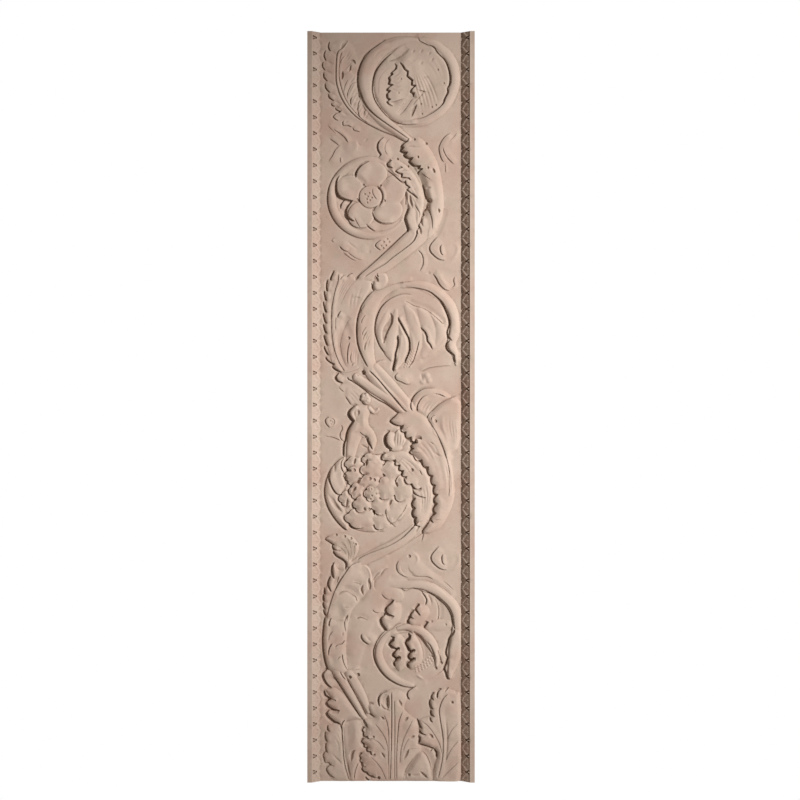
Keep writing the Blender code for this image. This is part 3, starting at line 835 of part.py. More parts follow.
def clear_scene():
    for item in list(bpy.data.objects):
        bpy.data.objects.remove(item, do_unlink=True)


def plaster():
    material = bpy.data.materials.new("tinted_plaster")
    material.use_nodes = True
    shader = material.node_tree.nodes["Principled BSDF"]
    shader.inputs["Base Color"].default_value = PLASTER
    shader.inputs["Roughness"].default_value = PLASTER_ROUGHNESS
    shader.inputs["Metallic"].default_value = 0.0
    return material


def panel():
    """The cast: a grid sheet carved to its heights, drawn back to a flat rear face."""
    columns = int(PANEL_WIDTH / GRID_SPACING) + 1
    rows = int(PANEL_HEIGHT / GRID_SPACING) + 1
    across = np.linspace(-PANEL_WIDTH / 2, PANEL_WIDTH / 2, columns)
    up = np.linspace(0.0, PANEL_HEIGHT, rows)
    face = heights(across, up)

    sheet = bmesh.new()
    bmesh.ops.create_grid(sheet, x_segments=columns - 1, y_segments=rows - 1, size=0.5)
    for corner in sheet.verts:
        column = round((corner.co.x + 0.5) * (columns - 1))
        row = round((corner.co.y + 0.5) * (rows - 1))
        corner.co = (across[column], -GROUND_THICKNESS - face[row, column], up[row] - PANEL_HEIGHT / 2)
    rim = [edge for edge in sheet.edges if edge.is_boundary]
    drawn = bmesh.ops.extrude_edge_only(sheet, edges=rim)["geom"]
    back = [part for part in drawn if isinstance(part, bmesh.types.BMVert)]
    for corner in back:
        corner.co.y = 0.0
    back_rim = [edge for edge in sheet.edges if edge.is_boundary]
    bmesh.ops.contextual_create(sheet, geom=back_rim)
    bmesh.ops.triangulate(sheet, faces=sheet.faces)
    bmesh.ops.recalc_face_normals(sheet, faces=sheet.faces)

    mesh = bpy.data.meshes.new("relief_panel")
    sheet.to_mesh(mesh)
    sheet.free()
    mesh.materials.append(plaster())
    cast = bpy.data.objects.new("relief_panel", mesh)
    bpy.context.scene.collection.objects.link(cast)
    fewer = cast.modifiers.new("facets", "DECIMATE")
    fewer.ratio = min(1.0, FACETS / len(mesh.polygons))
    return cast


clear_scene()
panel()
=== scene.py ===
"""Finishes a cast wall panel, a pilaster face carved with a peopled acanthus scroll.

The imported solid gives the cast's place and size. The finished cast is a finer sheet, carved by
the same drawing, tinted and aged, and set on a plain stage with the light from the upper right.

The carving is set out on a drawing ruled in squares. Places on it are counted in squares to the
right of the panel's centre line and up from its foot, and turns in degrees. Heights over the
ground, and depths of cuts, are shares of the carving's full rise.
"""
import math

import bpy
import numpy as np
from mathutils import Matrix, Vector


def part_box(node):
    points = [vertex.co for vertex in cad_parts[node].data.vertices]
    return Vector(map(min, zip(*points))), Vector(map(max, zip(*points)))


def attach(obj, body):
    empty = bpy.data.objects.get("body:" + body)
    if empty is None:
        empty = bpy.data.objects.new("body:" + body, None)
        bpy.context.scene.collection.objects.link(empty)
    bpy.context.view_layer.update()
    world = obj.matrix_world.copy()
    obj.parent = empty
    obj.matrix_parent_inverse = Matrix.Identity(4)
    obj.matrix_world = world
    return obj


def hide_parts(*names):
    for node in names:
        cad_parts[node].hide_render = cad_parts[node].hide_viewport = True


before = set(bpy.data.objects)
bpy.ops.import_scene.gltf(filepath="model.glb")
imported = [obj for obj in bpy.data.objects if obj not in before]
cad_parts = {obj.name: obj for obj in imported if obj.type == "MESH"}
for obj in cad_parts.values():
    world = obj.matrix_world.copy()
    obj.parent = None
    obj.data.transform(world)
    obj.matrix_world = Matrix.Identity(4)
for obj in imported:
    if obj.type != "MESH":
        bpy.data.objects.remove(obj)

bl_info = {
    "name": "Cast Pilaster Panel",
    "version": (1, 0, 0),
    "blender": (4, 5, 0),
    "location": "View3D > Sidebar > Cast Panel",
    "description": "Carves, tints and lights a cast plaster pilaster panel",
    "category": "Object",
}

SOLID = "relief_panel"
SOLID_LOW, SOLID_HIGH = (Vector(corner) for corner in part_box(SOLID))
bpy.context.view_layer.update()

# The drawing, in squares
FIELD_SQUARES = 141.0
HEIGHT_SQUARES = 751.0

# Cuts stop this far under the ground, as a share of the carving's rise
DEEPEST = -0.06

# In metres: how far a place lies under the face round it before dirt and painted shade darken it, and how
# far under or over that face it has to lie to be wholly darkened or wholly rubbed
DIRT_AND_SHADE_FROM = 0.0003
FULL_TINT_DEPTH = 0.0016

# Settles where the skin wavers
WAVER_SEED = 3

# Edges that turn by more than this are shaded sharp
SHARP_ANGLE = math.radians(45)

# The floor's side and how far its middle lies before the panel, in metres
FLOOR_SIDE = 8.0
FLOOR_FORWARD = 3.7

# Width of the film, in millimetres
FILM_WIDTH = 36.0


def rgb(hex_colour):
    """The linear colour of an sRGB hex value."""
    values = [int(hex_colour[k:k + 2], 16) / 255 for k in (1, 3, 5)]
    return tuple(v / 12.92 if v <= 0.04045 else ((v + 0.055) / 1.055) ** 2.4 for v in values)


class CastSizes(bpy.types.PropertyGroup):
    """Sizes of the cast that its outline does not give."""
    ground_thickness: bpy.props.FloatProperty(
        name="Ground thickness", description="Thickness of the slab under the carving",
        default=0.030, min=0.01, unit="LENGTH")
    fillet_width: bpy.props.FloatProperty(
        name="Fillet width", description="Width of the plain fillets at the long edges",
        default=0.0172, min=0.002, unit="LENGTH")
    fillet_rise: bpy.props.FloatProperty(
        name="Fillet rise", description="Rise of the fillets over the ground",
        default=0.026, min=0.002, unit="LENGTH")
    moulding_width: bpy.props.FloatProperty(
        name="Moulding width", description="Width of the leaf-and-dart moulding",
        default=0.0294, min=0.005, unit="LENGTH")
    dart_pitch: bpy.props.FloatProperty(
        name="Dart pitch", description="Distance from one dart of the moulding to the next",
        default=0.056, min=0.01, unit="LENGTH")
    dart_depth: bpy.props.FloatProperty(
        name="Dart depth", description="Depth of the hollows beside the darts",
        default=0.012, min=0.001, unit="LENGTH")
    carving_rise: bpy.props.FloatProperty(
        name="Carving rise", description="Full rise that the drawing's heights are shares of",
        default=0.0235, min=0.002, unit="LENGTH")
    waver: bpy.props.FloatProperty(
        name="Waver", description="How far the hand-smoothed skin wanders from true",
        default=0.00012, min=0.0, unit="LENGTH")
    waver_span: bpy.props.FloatProperty(
        name="Waver span", description="Breadth of the wanderings",
        default=0.012, min=0.002, unit="LENGTH")
    grid: bpy.props.FloatProperty(
        name="Carving grid", description="Spacing of the places where the carving is cut",
        default=0.0015, min=0.001, unit="LENGTH")
    facets: bpy.props.IntProperty(
        name="Facets", description="Triangles that the finished cast keeps",
        default=196000, min=10000)
    # how far the face is evened out to find the crevices that take dirt and painted shade
    dirt_and_shade_reach: bpy.props.FloatProperty(
        name="Dirt and shade reach", description="How far about a place the face is evened out to find "
        "the crevices where dirt settles", default=0.003, min=0.0005, unit="LENGTH")


class CastFinish(bpy.types.PropertyGroup):
    """Colours and grain of the tinted plaster."""
    body: bpy.props.FloatVectorProperty(
        name="Body tint", description="Colour of the plaster's skin",
        default=rgb("#cdb7a7"), size=3, subtype="COLOR", min=0.0, max=1.0)
    rose: bpy.props.FloatVectorProperty(
        name="Rose stain", description="Warmer cloud in the skin",
        default=rgb("#c6a797"), size=3, subtype="COLOR", min=0.0, max=1.0)
    olive: bpy.props.FloatVectorProperty(
        name="Olive stain", description="Greener cloud in the skin",
        default=rgb("#bbab98"), size=3, subtype="COLOR", min=0.0, max=1.0)
    # dirt, and painted shade: this colour darkens the hollows where shade falls, and tints the dirt specks
    dirt_and_shade: bpy.props.FloatVectorProperty(
        name="Dirt and painted shade", description="Colour of the dirt in the hollows",
        default=rgb("#54402f"), size=3, subtype="COLOR", min=0.0, max=1.0)
    rubbed: bpy.props.FloatVectorProperty(
        name="Rubbed crests", description="Colour where the skin is worn thin",
        default=rgb("#d6c6b8"), size=3, subtype="COLOR", min=0.0, max=1.0)
    cloud: bpy.props.FloatProperty(
        name="Cloud size", description="Breadth of the clouds in the tint",
        default=0.16, min=0.01, unit="LENGTH")
    grain: bpy.props.FloatProperty(
        name="Grain size", description="Size of the pits in the skin",
        default=0.004, min=0.0005, unit="LENGTH")
    roughness: bpy.props.FloatProperty(
        name="Roughness", description="Roughness of the dry skin",
        default=0.82, min=0.0, max=1.0, subtype="FACTOR")


class StageSizes(bpy.types.PropertyGroup):
    """Camera, lights and floor."""
    camera_distance: bpy.props.FloatProperty(
        name="Camera distance", description="From the carved face to the camera",
        default=6.0, min=1.0, unit="LENGTH")
    frame_height: bpy.props.FloatProperty(
        name="Framed height", description="Height that the camera takes in at the ground",
        default=2.800, min=0.5, unit="LENGTH")
    camera_aside: bpy.props.FloatVectorProperty(
        name="Camera aside", description="Camera to the right of and above the panel's centre",
        default=(0.0315, 0.0238), size=2, unit="LENGTH")
    key_place: bpy.props.FloatVectorProperty(
        name="Key place", description="Key light from the panel's centre",
        default=(6.5, -6.2, 2.4), size=3, subtype="XYZ", unit="LENGTH")
    key_aim: bpy.props.FloatVectorProperty(
        name="Key aim", description="Where the key light points, from the panel's centre",
        default=(1.45, 0.0, 0.28), size=3, subtype="XYZ", unit="LENGTH")
    key_spread: bpy.props.FloatProperty(
        name="Key spread", description="Full angle of the key light's soft cone",
        default=math.radians(29.6), subtype="ANGLE")
    key_radius: bpy.props.FloatProperty(
        name="Key radius", description="Radius of the key lamp, which softens the shadows",
        default=0.28, min=0.01, unit="LENGTH")
    key_power: bpy.props.FloatProperty(
        name="Key power", description="Power of the key lamp in watts",
        default=4680.0, min=0.0)
    back_place: bpy.props.FloatVectorProperty(
        name="Back light place", description="Back light from the panel's centre",
        default=(-2.2, 4.0, 2.4), size=3, subtype="XYZ", unit="LENGTH")
    back_size: bpy.props.FloatProperty(
        name="Back light size", description="Side of the back light's square",
        default=3.0, min=0.1, unit="LENGTH")
    back_power: bpy.props.FloatProperty(
        name="Back light power", description="Power of the back light in watts",
        default=180.0, min=0.0)
    room_strength: bpy.props.FloatProperty(
        name="Room light", description="Strength of the even light of the room",
        default=0.135, min=0.0)
    floor_drop: bpy.props.FloatProperty(
        name="Floor drop", description="From the panel's foot to the floor",
        default=0.20, min=0.0, unit="LENGTH")


def line(*numbers):
    """Places on the drawing: the first one across and up, each later one as its step onwards."""
    return np.round(np.cumsum(np.array(numbers, dtype=float).reshape(-1, 2), axis=0), 1)


def at(across, up):
    """One place on the drawing."""
    return np.array([across, up], dtype=float)


class Relief:
    """The carved face: heights above the ground, as shares of the full rise, on a grid."""

    def __init__(self, x, y):
        self.x = x
        self.y = y
        self.h = np.zeros((len(y), len(x)))

    def window(self, points, margin):
        """The part of the grid about some places, a margin round them, and its own places."""
        low, high = points.min(axis=0) - margin, points.max(axis=0) + margin
        across = slice(*np.searchsorted(self.x, (low[0], high[0])))
        up = slice(*np.searchsorted(self.y, (low[1], high[1])))
        x, y = np.meshgrid(self.x[across], self.y[up])
        return (up, across), x, y


def curve(points, gap=1.5):
    """Points about a gap apart on a smooth curve through the given ones."""
    p = np.vstack([2 * points[0] - points[1], points, 2 * points[-1] - points[-2]])
    out = []
    for a, b, c, d in zip(p, p[1:], p[2:], p[3:]):
        t = np.linspace(0, 1, max(2, int(np.hypot(*(c - b)) / gap) + 1))[:-1, None]
        out.append(0.5 * (2 * b + (c - a) * t + (2 * a - 5 * b + 4 * c - d) * t ** 2
                          + (3 * b - a - 3 * c + d) * t ** 3))
    return np.vstack(out + [points[-1:]])


def arc(centre, radius, start, end, squash=1.0):
    """Points on an arc between two angles in degrees, with the end radius if two are given."""
    first, last = np.broadcast_to(radius, 2)
    count = max(4, int(abs(np.radians(end - start)) * max(first, last) / 1.5))
    t = np.linspace(0, 1, count)
    angle, r = np.radians(start + (end - start) * t), first + (last - first) * t
    return centre + np.column_stack([r * np.cos(angle), squash * r * np.sin(angle)])


def track(points, x, y):
    """Share of the way along a line, the distance off it, left of its run positive, and its
    length."""
    best = np.full(x.shape, np.inf)
    share, side = np.zeros(x.shape), np.ones(x.shape)
    steps = np.diff(points, axis=0)
    sizes = np.hypot(*steps.T)
    run = np.concatenate([[0], np.cumsum(sizes)])
    across = np.column_stack([-steps[:, 1], steps[:, 0]]) / sizes[:, None]
    corner = np.vstack([across[:1], across[1:] + across[:-1], across[-1:]])
    for k, (ax, ay) in enumerate(points[:-1]):
        nx, ny = across[k]
        s = (x - ax) * ny - (y - ay) * nx
        t = np.clip(s, 0, sizes[k])
        qx, qy = x - ax - t * ny, y - ay + t * nx
        d = qx * qx + qy * qy
        near = d < best
        best[near], share[near] = d[near], (run[k] + t)[near]
        wx = np.where(s < 0, corner[k, 0], np.where(s > sizes[k], corner[k + 1, 0], nx))
        wy = np.where(s < 0, corner[k, 1], np.where(s > sizes[k], corner[k + 1, 1], ny))
        side[near] = np.where(qx * wx + qy * wy >= 0, 1.0, -1.0)[near]
    return share / run[-1], np.sqrt(best) * side, run[-1]


def along(values, share):
    """A value that changes evenly along a line, or keeps to one number."""
    values = np.atleast_1d(values)
    return np.interp(share, np.linspace(0, 1, len(values)), values)


def lay(relief, place, height, inward, over=False):
    """Puts a form on the face where it stands higher, or over what is there; inward is how far
    in from its outline each place lies."""
    h = relief.h[place]
    inside = inward > 0
    new = height if over else np.maximum(h, height)
    h[inside] = new[inside]


def round_edge(inward, radius):
    """Share of full height near an outline: a steep rounded shoulder."""
    e = np.clip(inward / radius, 0, 1)
    return np.sqrt(e * (2 - e))


def stem(relief, points, width, rise, foot=0.2, smooth=True):
    """A half-round stem: full width and rise, each even or changing along it."""
    points = curve(points) if smooth else points
    half = np.atleast_1d(width) / 2.0
    place, x, y = relief.window(points, half.max() + 2)
    share, off, _ = track(points, x, y)
    r = along(half, share)
    crown = np.clip(1 - (off / np.maximum(r, 0.01)) ** 2, 0, 1) ** 0.8
    height = along(rise, share) * (foot + (1 - foot) * crown)
    lay(relief, place, height, r - np.abs(off))


def blob(relief, centre, across, up, turn, rise, foot=0.0, over=False, power=2.0):
    """A rounded lump: half sizes across and up, turned by degrees."""
    reach = max(across, up) + 1
    place, x, y = relief.window(np.array([centre]), reach)
    c, s = np.cos(np.radians(turn)), np.sin(np.radians(turn))
    u = ((x - centre[0]) * c + (y - centre[1]) * s) / across
    v = ((y - centre[1]) * c - (x - centre[0]) * s) / up
    r = np.hypot(u, v)
    height = rise * (foot + (1 - foot) * np.sqrt(np.clip(1 - r ** power, 0, 1)))
    lay(relief, place, height, 1 - r, over)


def patch(relief, outline, rise, shoulder, foot):
    """A raised patch inside a closed outline, with a rounded shoulder."""
    ring = curve(np.vstack([outline, outline[:1]]), 1.2)
    place, x, y = relief.window(ring, 3)
    _, off, _ = track(ring, x, y)
    inside = np.zeros(x.shape, bool)
    for (ax, ay), (bx, by) in zip(ring, ring[1:]):
        if ay != by:
            crosses = (ay > y) != (by > y)
            inside ^= crosses & (x < (bx - ax) * (y - ay) / (by - ay) + ax)
    inward = np.where(inside, np.abs(off), -np.abs(off))
    outer = 1 - np.clip(inward / shoulder, 0, 1)
    lay(relief, place, rise * (foot + (1 - foot) * (1 - outer * outer)), inward)


def cut(relief, points, width, depth):
    """A tapering groove along a line: deepest in the middle of its length."""
    points = curve(points, 1.0)
    place, x, y = relief.window(points, width + 1)
    share, off, _ = track(points, x, y)
    taper = np.sqrt(np.sin(np.pi * np.clip(share, 0.04, 0.96)))
    dig = depth * taper * np.clip(1 - np.abs(off) / (0.5 * width * taper + 0.15), 0, 1) ** 0.7
    relief.h[place] = np.where(relief.h[place] > 0, np.maximum(relief.h[place] - dig, DEEPEST),
                               relief.h[place] - 0.15 * dig)


def drill(relief, centre, radius=1.2, depth=0.26):
    """A small drilled hole."""
    place, x, y = relief.window(np.array([centre]), radius + 2)
    r = np.hypot(x - centre[0], y - centre[1]) / radius
    relief.h[place] -= depth * np.clip(1.3 - r ** 2, 0, 1) ** 0.5


def jagged(points, lobes, depth):
    """A line that swings out to its right in rounded lobes, which lean on along its run, with a
    sharp notch between them."""
    smooth = curve(points, 0.6)
    steps = np.concatenate([[0], np.cumsum(np.hypot(*np.diff(smooth, axis=0).T))])
    way = np.gradient(smooth, axis=0)
    way /= np.hypot(*way.T)[:, None]
    wave = np.mod(steps / steps[-1] * lobes, 1) ** 1.5
    return smooth + np.column_stack([way[:, 1], -way[:, 0]]) * (
        depth * np.sin(np.pi * wave) ** 0.7)[:, None]


def petal(relief, centre, across, up, turn, rise):
    """A ruffled petal: a mound of five scallops, a dark seam along its left and lower side."""
    lobes, turned = 5, np.radians(turn)
    angle = np.radians(np.linspace(0, 360, 8 * lobes + 1))
    reach = 0.78 + 0.22 * np.abs(np.sin(lobes * (angle + turned) / 2)) ** 0.7
    x, y = across * reach * np.cos(angle), up * reach * np.sin(angle)
    ring = centre + np.column_stack([x * np.cos(turned) - y * np.sin(turned),
                                     x * np.sin(turned) + y * np.cos(turned)])
    patch(relief, ring[:-1], rise, 0.7 * min(across, up), 0.5)
    heading = np.arctan2(*(ring - centre).T[::-1]) % (2 * np.pi)
    order = np.argsort(heading[:-1])
    low = order[(heading[order] > 1.5) & (heading[order] < 5.1)]
    edge(relief, ring[low], 0.0, 2, (0.1, 0.36, 0.4, 0.36, 0.1), 3, smooth=False)
    for notch in ring[low[4::8]]:
        crease(relief, np.array([notch, (notch + centre) / 2]), 1.6, 0.04)


def hollow(relief, centre, radius, depth):
    """A shallow round hollow."""
    place, x, y = relief.window(np.array([centre]), radius + 1)
    r = np.hypot(x - centre[0], y - centre[1]) / radius
    relief.h[place] -= depth * np.clip(1 - r ** 2, 0, 1)


def seeds(relief, first, step, row_step, count, rows, radius, rise):
    """Rows of small round seeds."""
    for row in range(rows):
        for k in range(count):
            place = first + k * np.array(step) + row * np.array(row_step)
            swell(relief, place, radius, radius, 0, rise)


def edge(relief, points, lift, reach, groove=0.15, width=1.8, fade=3.0, level=0.3, smooth=True):
    """A carved edge. The surface to the left of the line's run is lifted, keeps that height over
    the level share of its reach and then dies away; a groove lies along its foot."""
    points = curve(points, 1.0) if smooth else points
    place, x, y = relief.window(points, max(np.max(reach), np.max(width)) + 1)
    share, off, size = track(points, x, y)
    left = np.minimum(share, 1 - share) * size
    reach = along(reach, share)
    slow = np.clip(left / np.maximum(fade, 0.6 * reach), 0, 1)
    d = np.clip((off / reach - level) / (1 - level), 0, 1)
    onset = round_edge(off, 0.9) * (off > 0)
    relief.h[place] += along(lift, share) * slow * (2 - slow) * onset * (1 - d * d * (3 - 2 * d))
    ends = np.sqrt(np.clip(left / fade, 0, 1))
    foot = np.clip(1 + off / (along(width, share) * ends + 0.05), 0, 1) * (off <= 0)
    relief.h[place] -= along(groove, share) * ends * foot


def crease(relief, points, width, depth):
    """A soft groove along a line, or a soft ridge where its depth is negative."""
    points = curve(points, 1.5)
    place, x, y = relief.window(points, 1.5 * width + 1)
    share, off, _ = track(points, x, y)
    ends = np.sin(np.pi * np.clip(share, 0, 1))
    relief.h[place] -= depth * ends * np.exp(-(2 * off / width) ** 2)


def fan(relief, first, last, count, width, depth):
    """Creases spread evenly from one line to another of as many points."""
    for t in np.linspace(0, 1, count):
        crease(relief, first + t * (last - first), width, depth)


def swell(relief, centre, across, up, turn=0, rise=0.1):
    """A soft mound laid on what is there, or a soft hollow where its rise is negative."""
    place, x, y = relief.window(np.array([centre]), 2 * max(across, up))
    c, s = np.cos(np.radians(turn)), np.sin(np.radians(turn))
    u = ((x - centre[0]) * c + (y - centre[1]) * s) / across
    v = ((y - centre[1]) * c - (x - centre[0]) * s) / up
    relief.h[place] += rise * np.exp(-(u * u + v * v) ** 1.5)


def band(relief, points, width, rise, foot, soft=0.8):
    """A flattened band: a steep shoulder on its left, a soft fall on its right, as it runs."""
    points = curve(points)
    half = np.atleast_1d(width) / 2.0
    place, x, y = relief.window(points, half.max() + 2)
    share, off, _ = track(points, x, y)
    r = np.maximum(along(half, share), 0.01)
    u = off / r
    left = foot + (1 - foot) * np.sqrt(np.clip(1 - np.clip(u, 0, 1) ** 3, 0, 1))
    right = (1 - soft * np.clip(-u, 0, 1) ** 2)
    height = along(rise, share) * np.where(u > 0, left, right)
    lay(relief, place, height, r - np.abs(off))


def serrate(relief, points, count, depth):
    """A row of teeth along a line: each a short edge that bows inwards to its tip."""
    smooth = curve(points, 0.7)
    stops = np.linspace(0, len(smooth) - 1, count + 1).astype(int)
    for first, last in zip(stops, stops[1:]):
        tooth = smooth[first:last + 1].copy()
        way = tooth[-1] - tooth[0]
        inward = np.array([-way[1], way[0]]) / np.hypot(*way)
        tooth += inward * (depth * np.linspace(0, 1, len(tooth)) ** 1.5)[:, None]
        edge(relief, tooth[::2], 0.13, 6, 0.32, 2.6, fade=1.5)


def nick(relief, ends, width, depth):
    """A short straight groove between two places."""
    cut(relief, np.array([ends[0], ends.mean(axis=0), ends[1]]), width, depth)


def each(stroke, relief, *calls, **shared):
    """The same kind of stroke several times over, with what all of them share named at the end."""
    for call in calls:
        stroke(relief, *call, **shared)


def volute_one(r):
    # the far rim, and the band that winds up and over from the stem
    band(r, line(7, 658, 24, 3, 12, 6.5, 10, 8.5, 7, 11, 4, 13, -0.5, 14, -4.5, 11, -8, 9, -10, 7, -12, 3),
        (3, 7, 9, 10, 10, 10, 10, 10, 8, 5), (0.14, 0.24, 0.3, 0.34, 0.34, 0.34, 0.3, 0.24, 0.16),
        foot=0.02)
    patch(r, line(-2, 728, 11, 10, 14, 6, 16, -4, 12, -10, 7, -14, 1, -14, -3, -15, -9, -13, -13, -9,
        -15, -4, -14, 1, -13, 11, -7, 11, -3, 12, 3, 16), 0.22, 3, 0.21)
    stem(r, line(18, 643, -11, 8, -12, 9, -10, 10, -7, 11, -3, 11, -0.5, 12, 2.5, 12, 7, 11, 9, 8, 12, 6,
        14, 2, 14, -2), (7, 10, 13, 14.5, 15, 15, 14, 12, 8, 5),
        (0.4, 0.48, 0.52, 0.52, 0.48, 0.4, 0.3, 0.24), foot=0.2)
    edge(r, line(-5, 744, -8, -6, -8, -5.5, -6, -6.5, -5, -14, -0.8, -9, 1.3, -8, 2, -6, 3.5, -9, 7, -9,
        11, -9, 26, -18), 0.11, 9, (0.16, 0.2, 0.22, 0.2, 0.13, 0.1), (2.2, 2.8, 2.6, 2))
    edge(r, line(1, 730, -7, -6, -7, -9, -4, -9, -1.5, -10, 1.5, -10, 4, -8, 8, -10, 8, -6, 11, -3.5,
        13, 0.5), 0.23, 14, (0.13, 0.18, 0.18, 0.12, 0.06), 2)
    crease(r, line(1, 733.5, -12, -1.5, -7, -8), 1.6, 0.08)
    each(edge, r,
        (line(-1, 716, -7, -6, -4, -8, -0.5, -15), 0.05, 8, 0.01, 1.5),
        (line(-9, 739, 9, 3, 11, 3.5, 17, 1), -0.11, 6, 0.07, 1.5),
        (line(27.5, 746, 1.5, -3.5, 7, -3.5, 7, -2.5, 4, -5.5, 8, -8.5, 3.5, -8.5, 2, -9, -1, -7, -2.5, -3,
            1, -4, -3, -6, -2.5, -6, -6.5, -6, -8, -5, -9, -3.5, -10, -1.5), 0.11, 9,
            (0.07, 0.17, 0.26, 0.3, 0.26, 0.17, 0.07), 2.4))
    # the turned leaf that fills the eye: two layers, each with its ragged edge to the left
    edge(r, line(-3, 721.5, 7, 2.5, 6, 3.5, 4, 3.5, 4, 4), -0.11, 8, 0.2, 2.2)
    edge(r, line(3.5, 720, 2.5, -2.5, -0.5, -3.5, -4.5, -3.5, 1, -2, -3.5, -2.5, 1, -3, -1, -4, 3.5, -1,
        -4, -2.5, -1.5, -2.5, 3, -1, -3, -3, 0.5, -4, 2.5, -1.5, -3, -2, 1.5, -2.5, 4, -2), 0.34, 17, 0.2,
        2.8, smooth=False)
    edge(r, line(8.5, 721, 3.5, -3, 2.5, -4.5, 3, -2, -0.5, -4.5, 5, -4, -0.5, -5, 3.5, -0.5, -3.5, -3.5,
        -1, -3, 3, -1, -1, -4), 0.34, (16, 20, 20, 18, 12, 7), 0.2, 2.4, smooth=False)
    edge(r, line(20, 692, -1, -4, -4, -6, -5, -5, -1, -4, -4, -3), -0.14, 9, 0.11, 1.6)
    edge(r, line(22, 685, -4, -6, -5, -7, -5, -5), 0.06, 5, 0.05, 1.4)
    cut(r, line(25.5, 678, -3, -5, -2, -6.5), 3.4, 0.52)
    edge(r, line(33.5, 694, -2.5, -6, -5, -5, -4, -5), 0.07, 5, 0.05, 1.6)
    fan(r, line(22, 712, 2, -14, 4, -13, 3, -15), line(29, 716, 10, -14, 6, -14, 3, -11), 6, 1.8, 0.08)
    fan(r, line(33, 724, 9, -10, 7, -14), line(43, 728, 7, -12, 4, -14), 3, 3, 0.04)
    for far in line(21, 730, 8, 0, 8, -2, -8, -10, 11, 4):
        crease(r, np.array([far, far + (3, 4)]), 2, 0.11)
    fan(r, line(0, 694, 6, -2, 6, 2), line(1, 706, 5, 2, 3, 4), 5, 2, 0.09)
    for spot in line(10, 704, -2.5, -14, 22.5, -11, 1, -10, 16, 44.5, 6, -13.5, -8, -22, -4, -2):
        drill(r, spot, 1, 0.12)


def stem_one(r):
    # the big leaf at the left: a narrow toothed side, a double rib, a side of folded lobes
    patch(r, line(-46, 742, 7, -4, 6, -14, 1, -17, 1, -15, 6, -13, 12, -11, 14, -12, 16, -12, -10, 2,
        -14, 6, -16, 6, -14, 5, -11, 3, -9, 10, -6, 10, -3, 12, -1, 12, 1, 14, 5, 14, 8, 6), 0.2, 9, 0.02)
    for tip, root in zip(
            line(-61.5, 742, -4, -8.5, -2.5, -11.5, 0.5, -10.5, 1.5, -11, 3, -11, 3.5, -9, 3.5, -4.5),
            line(-60.5, 732, -4.5, -9.5, -1, -9.5, 2.5, -11, 2.5, -11.5, 4, -8, 0.5, -5.5, 6.5, -5.5)):
        bow = ((tip + root) / 2) + (-1.6, 0)
        edge(r, np.array([tip, bow, root]), 0.14, 9, 0.23, 2.2, fade=2)
        crease(r, np.array([root, root + (7, -4)]), 2.6, 0.1)
    edge(r, line(-45, 743.5, -3, -4.5, -2.5, -5, -2.5, -2.5, -1.5, -7.5, -0.5, -20, 2, -10, 3, -8, 5, -8.5,
        7, -8, 9, -7, 18, -9.5, 15, -6, 9, -5), 0.11, 4, 0.11, 1.8)
    edge(r, line(-49, 732, -2, -7, -1, -9, 0, -10, 2, -10, 3, -9, 5, -9, 6, -7, 7, -7, 6, -4), 0.07, 4,
        0.08, 1.6)
    cut(r, line(-44, 743, -3.5, -4, -2.5, -5), 3.6, 0.38)
    cut(r, line(-48.7, 711.5, -0.3, -3.5, -0.5, -4), 3, 0.52)
    # the lobes: each curls over the next
    each(edge, r,
        (line(-33, 715, -7, -1.5, -2.5, -2), -0.16, 8, 0.11, 1.6),
        (line(-46, 728, -4, -5, -0.5, -5), 0.09, 9, 0.08, 1.5),
        (line(-31, 691, -3.5, -1.5, -2, -2.5), -0.14, 8, 0.11, 1.8),
        (line(-38, 687, -2, -3, -0.5, -4, 1, -2.5), 0.16, 8, 0.13, 1.8),
        (line(-24, 674, -2.5, -2.5, -1, -3.5), 0.14, 6, 0.11, 1.6),
        (line(-34, 700, -4, 0, -2.5, -3, -3, -7, -0.5, -6), 0.11, 7, 0.07, 1.6),
        (line(-43, 704, -3, -6, -2, -8), 0.07, 6, 0.04, 1.6),
        (line(-31, 684, -2, -6, 0, -7, 2, -6), 0.11, 6, 0.07, 1.6))
    cut(r, line(-41, 722.5, 3, 0, 2, -3), 2.6, 0.38)
    cut(r, line(-40.5, 718, -1, -4, -1, -2.5), 2.2, 0.3)
    each(fan, r,
        (line(-45, 692, 5, 10, 6, 8), line(-39, 674, 4, 10, 4, 5), 5, 2, 0.08),
        (line(-37, 668, 4, 8, 4, 6), line(-27, 662, 3, 6, 3, 5), 5, 2, 0.08),
        (line(-49, 720, 4, 6, 4, 8), line(-48, 712, 7, 8, 7, 6), 4, 2, 0.08))
    # the small lobes under it
    each(edge, r,
        (line(-49, 673.5, -2.5, -2.5, -4, -1.5, -2.5, -3, 2.5, -2.5, 3, -1.5), 0.11, 8, 0.17, 1.8),
        (line(-47, 663, -1.5, -2, 0.5, -3, 5, 0, 4, -2), 0.11, 6, 0.15, 1.6),
        (line(-39, 656, 2, -3, 6, -1.5), 0.11, 6, 0.13, 1.6),
        smooth=False)
    # a small curled leaf in low relief
    edge(r, line(-7, 646, -4, -3.5, -2, -4.5, 0.5, -5, 2.5, -4.5, -3, -3), 0.25, 13, 0.2, 2.4)
    edge(r, line(-1, 645, -4, -5, -1, -7, 3, -6), 0.06, 6, 0.04, 1.6)


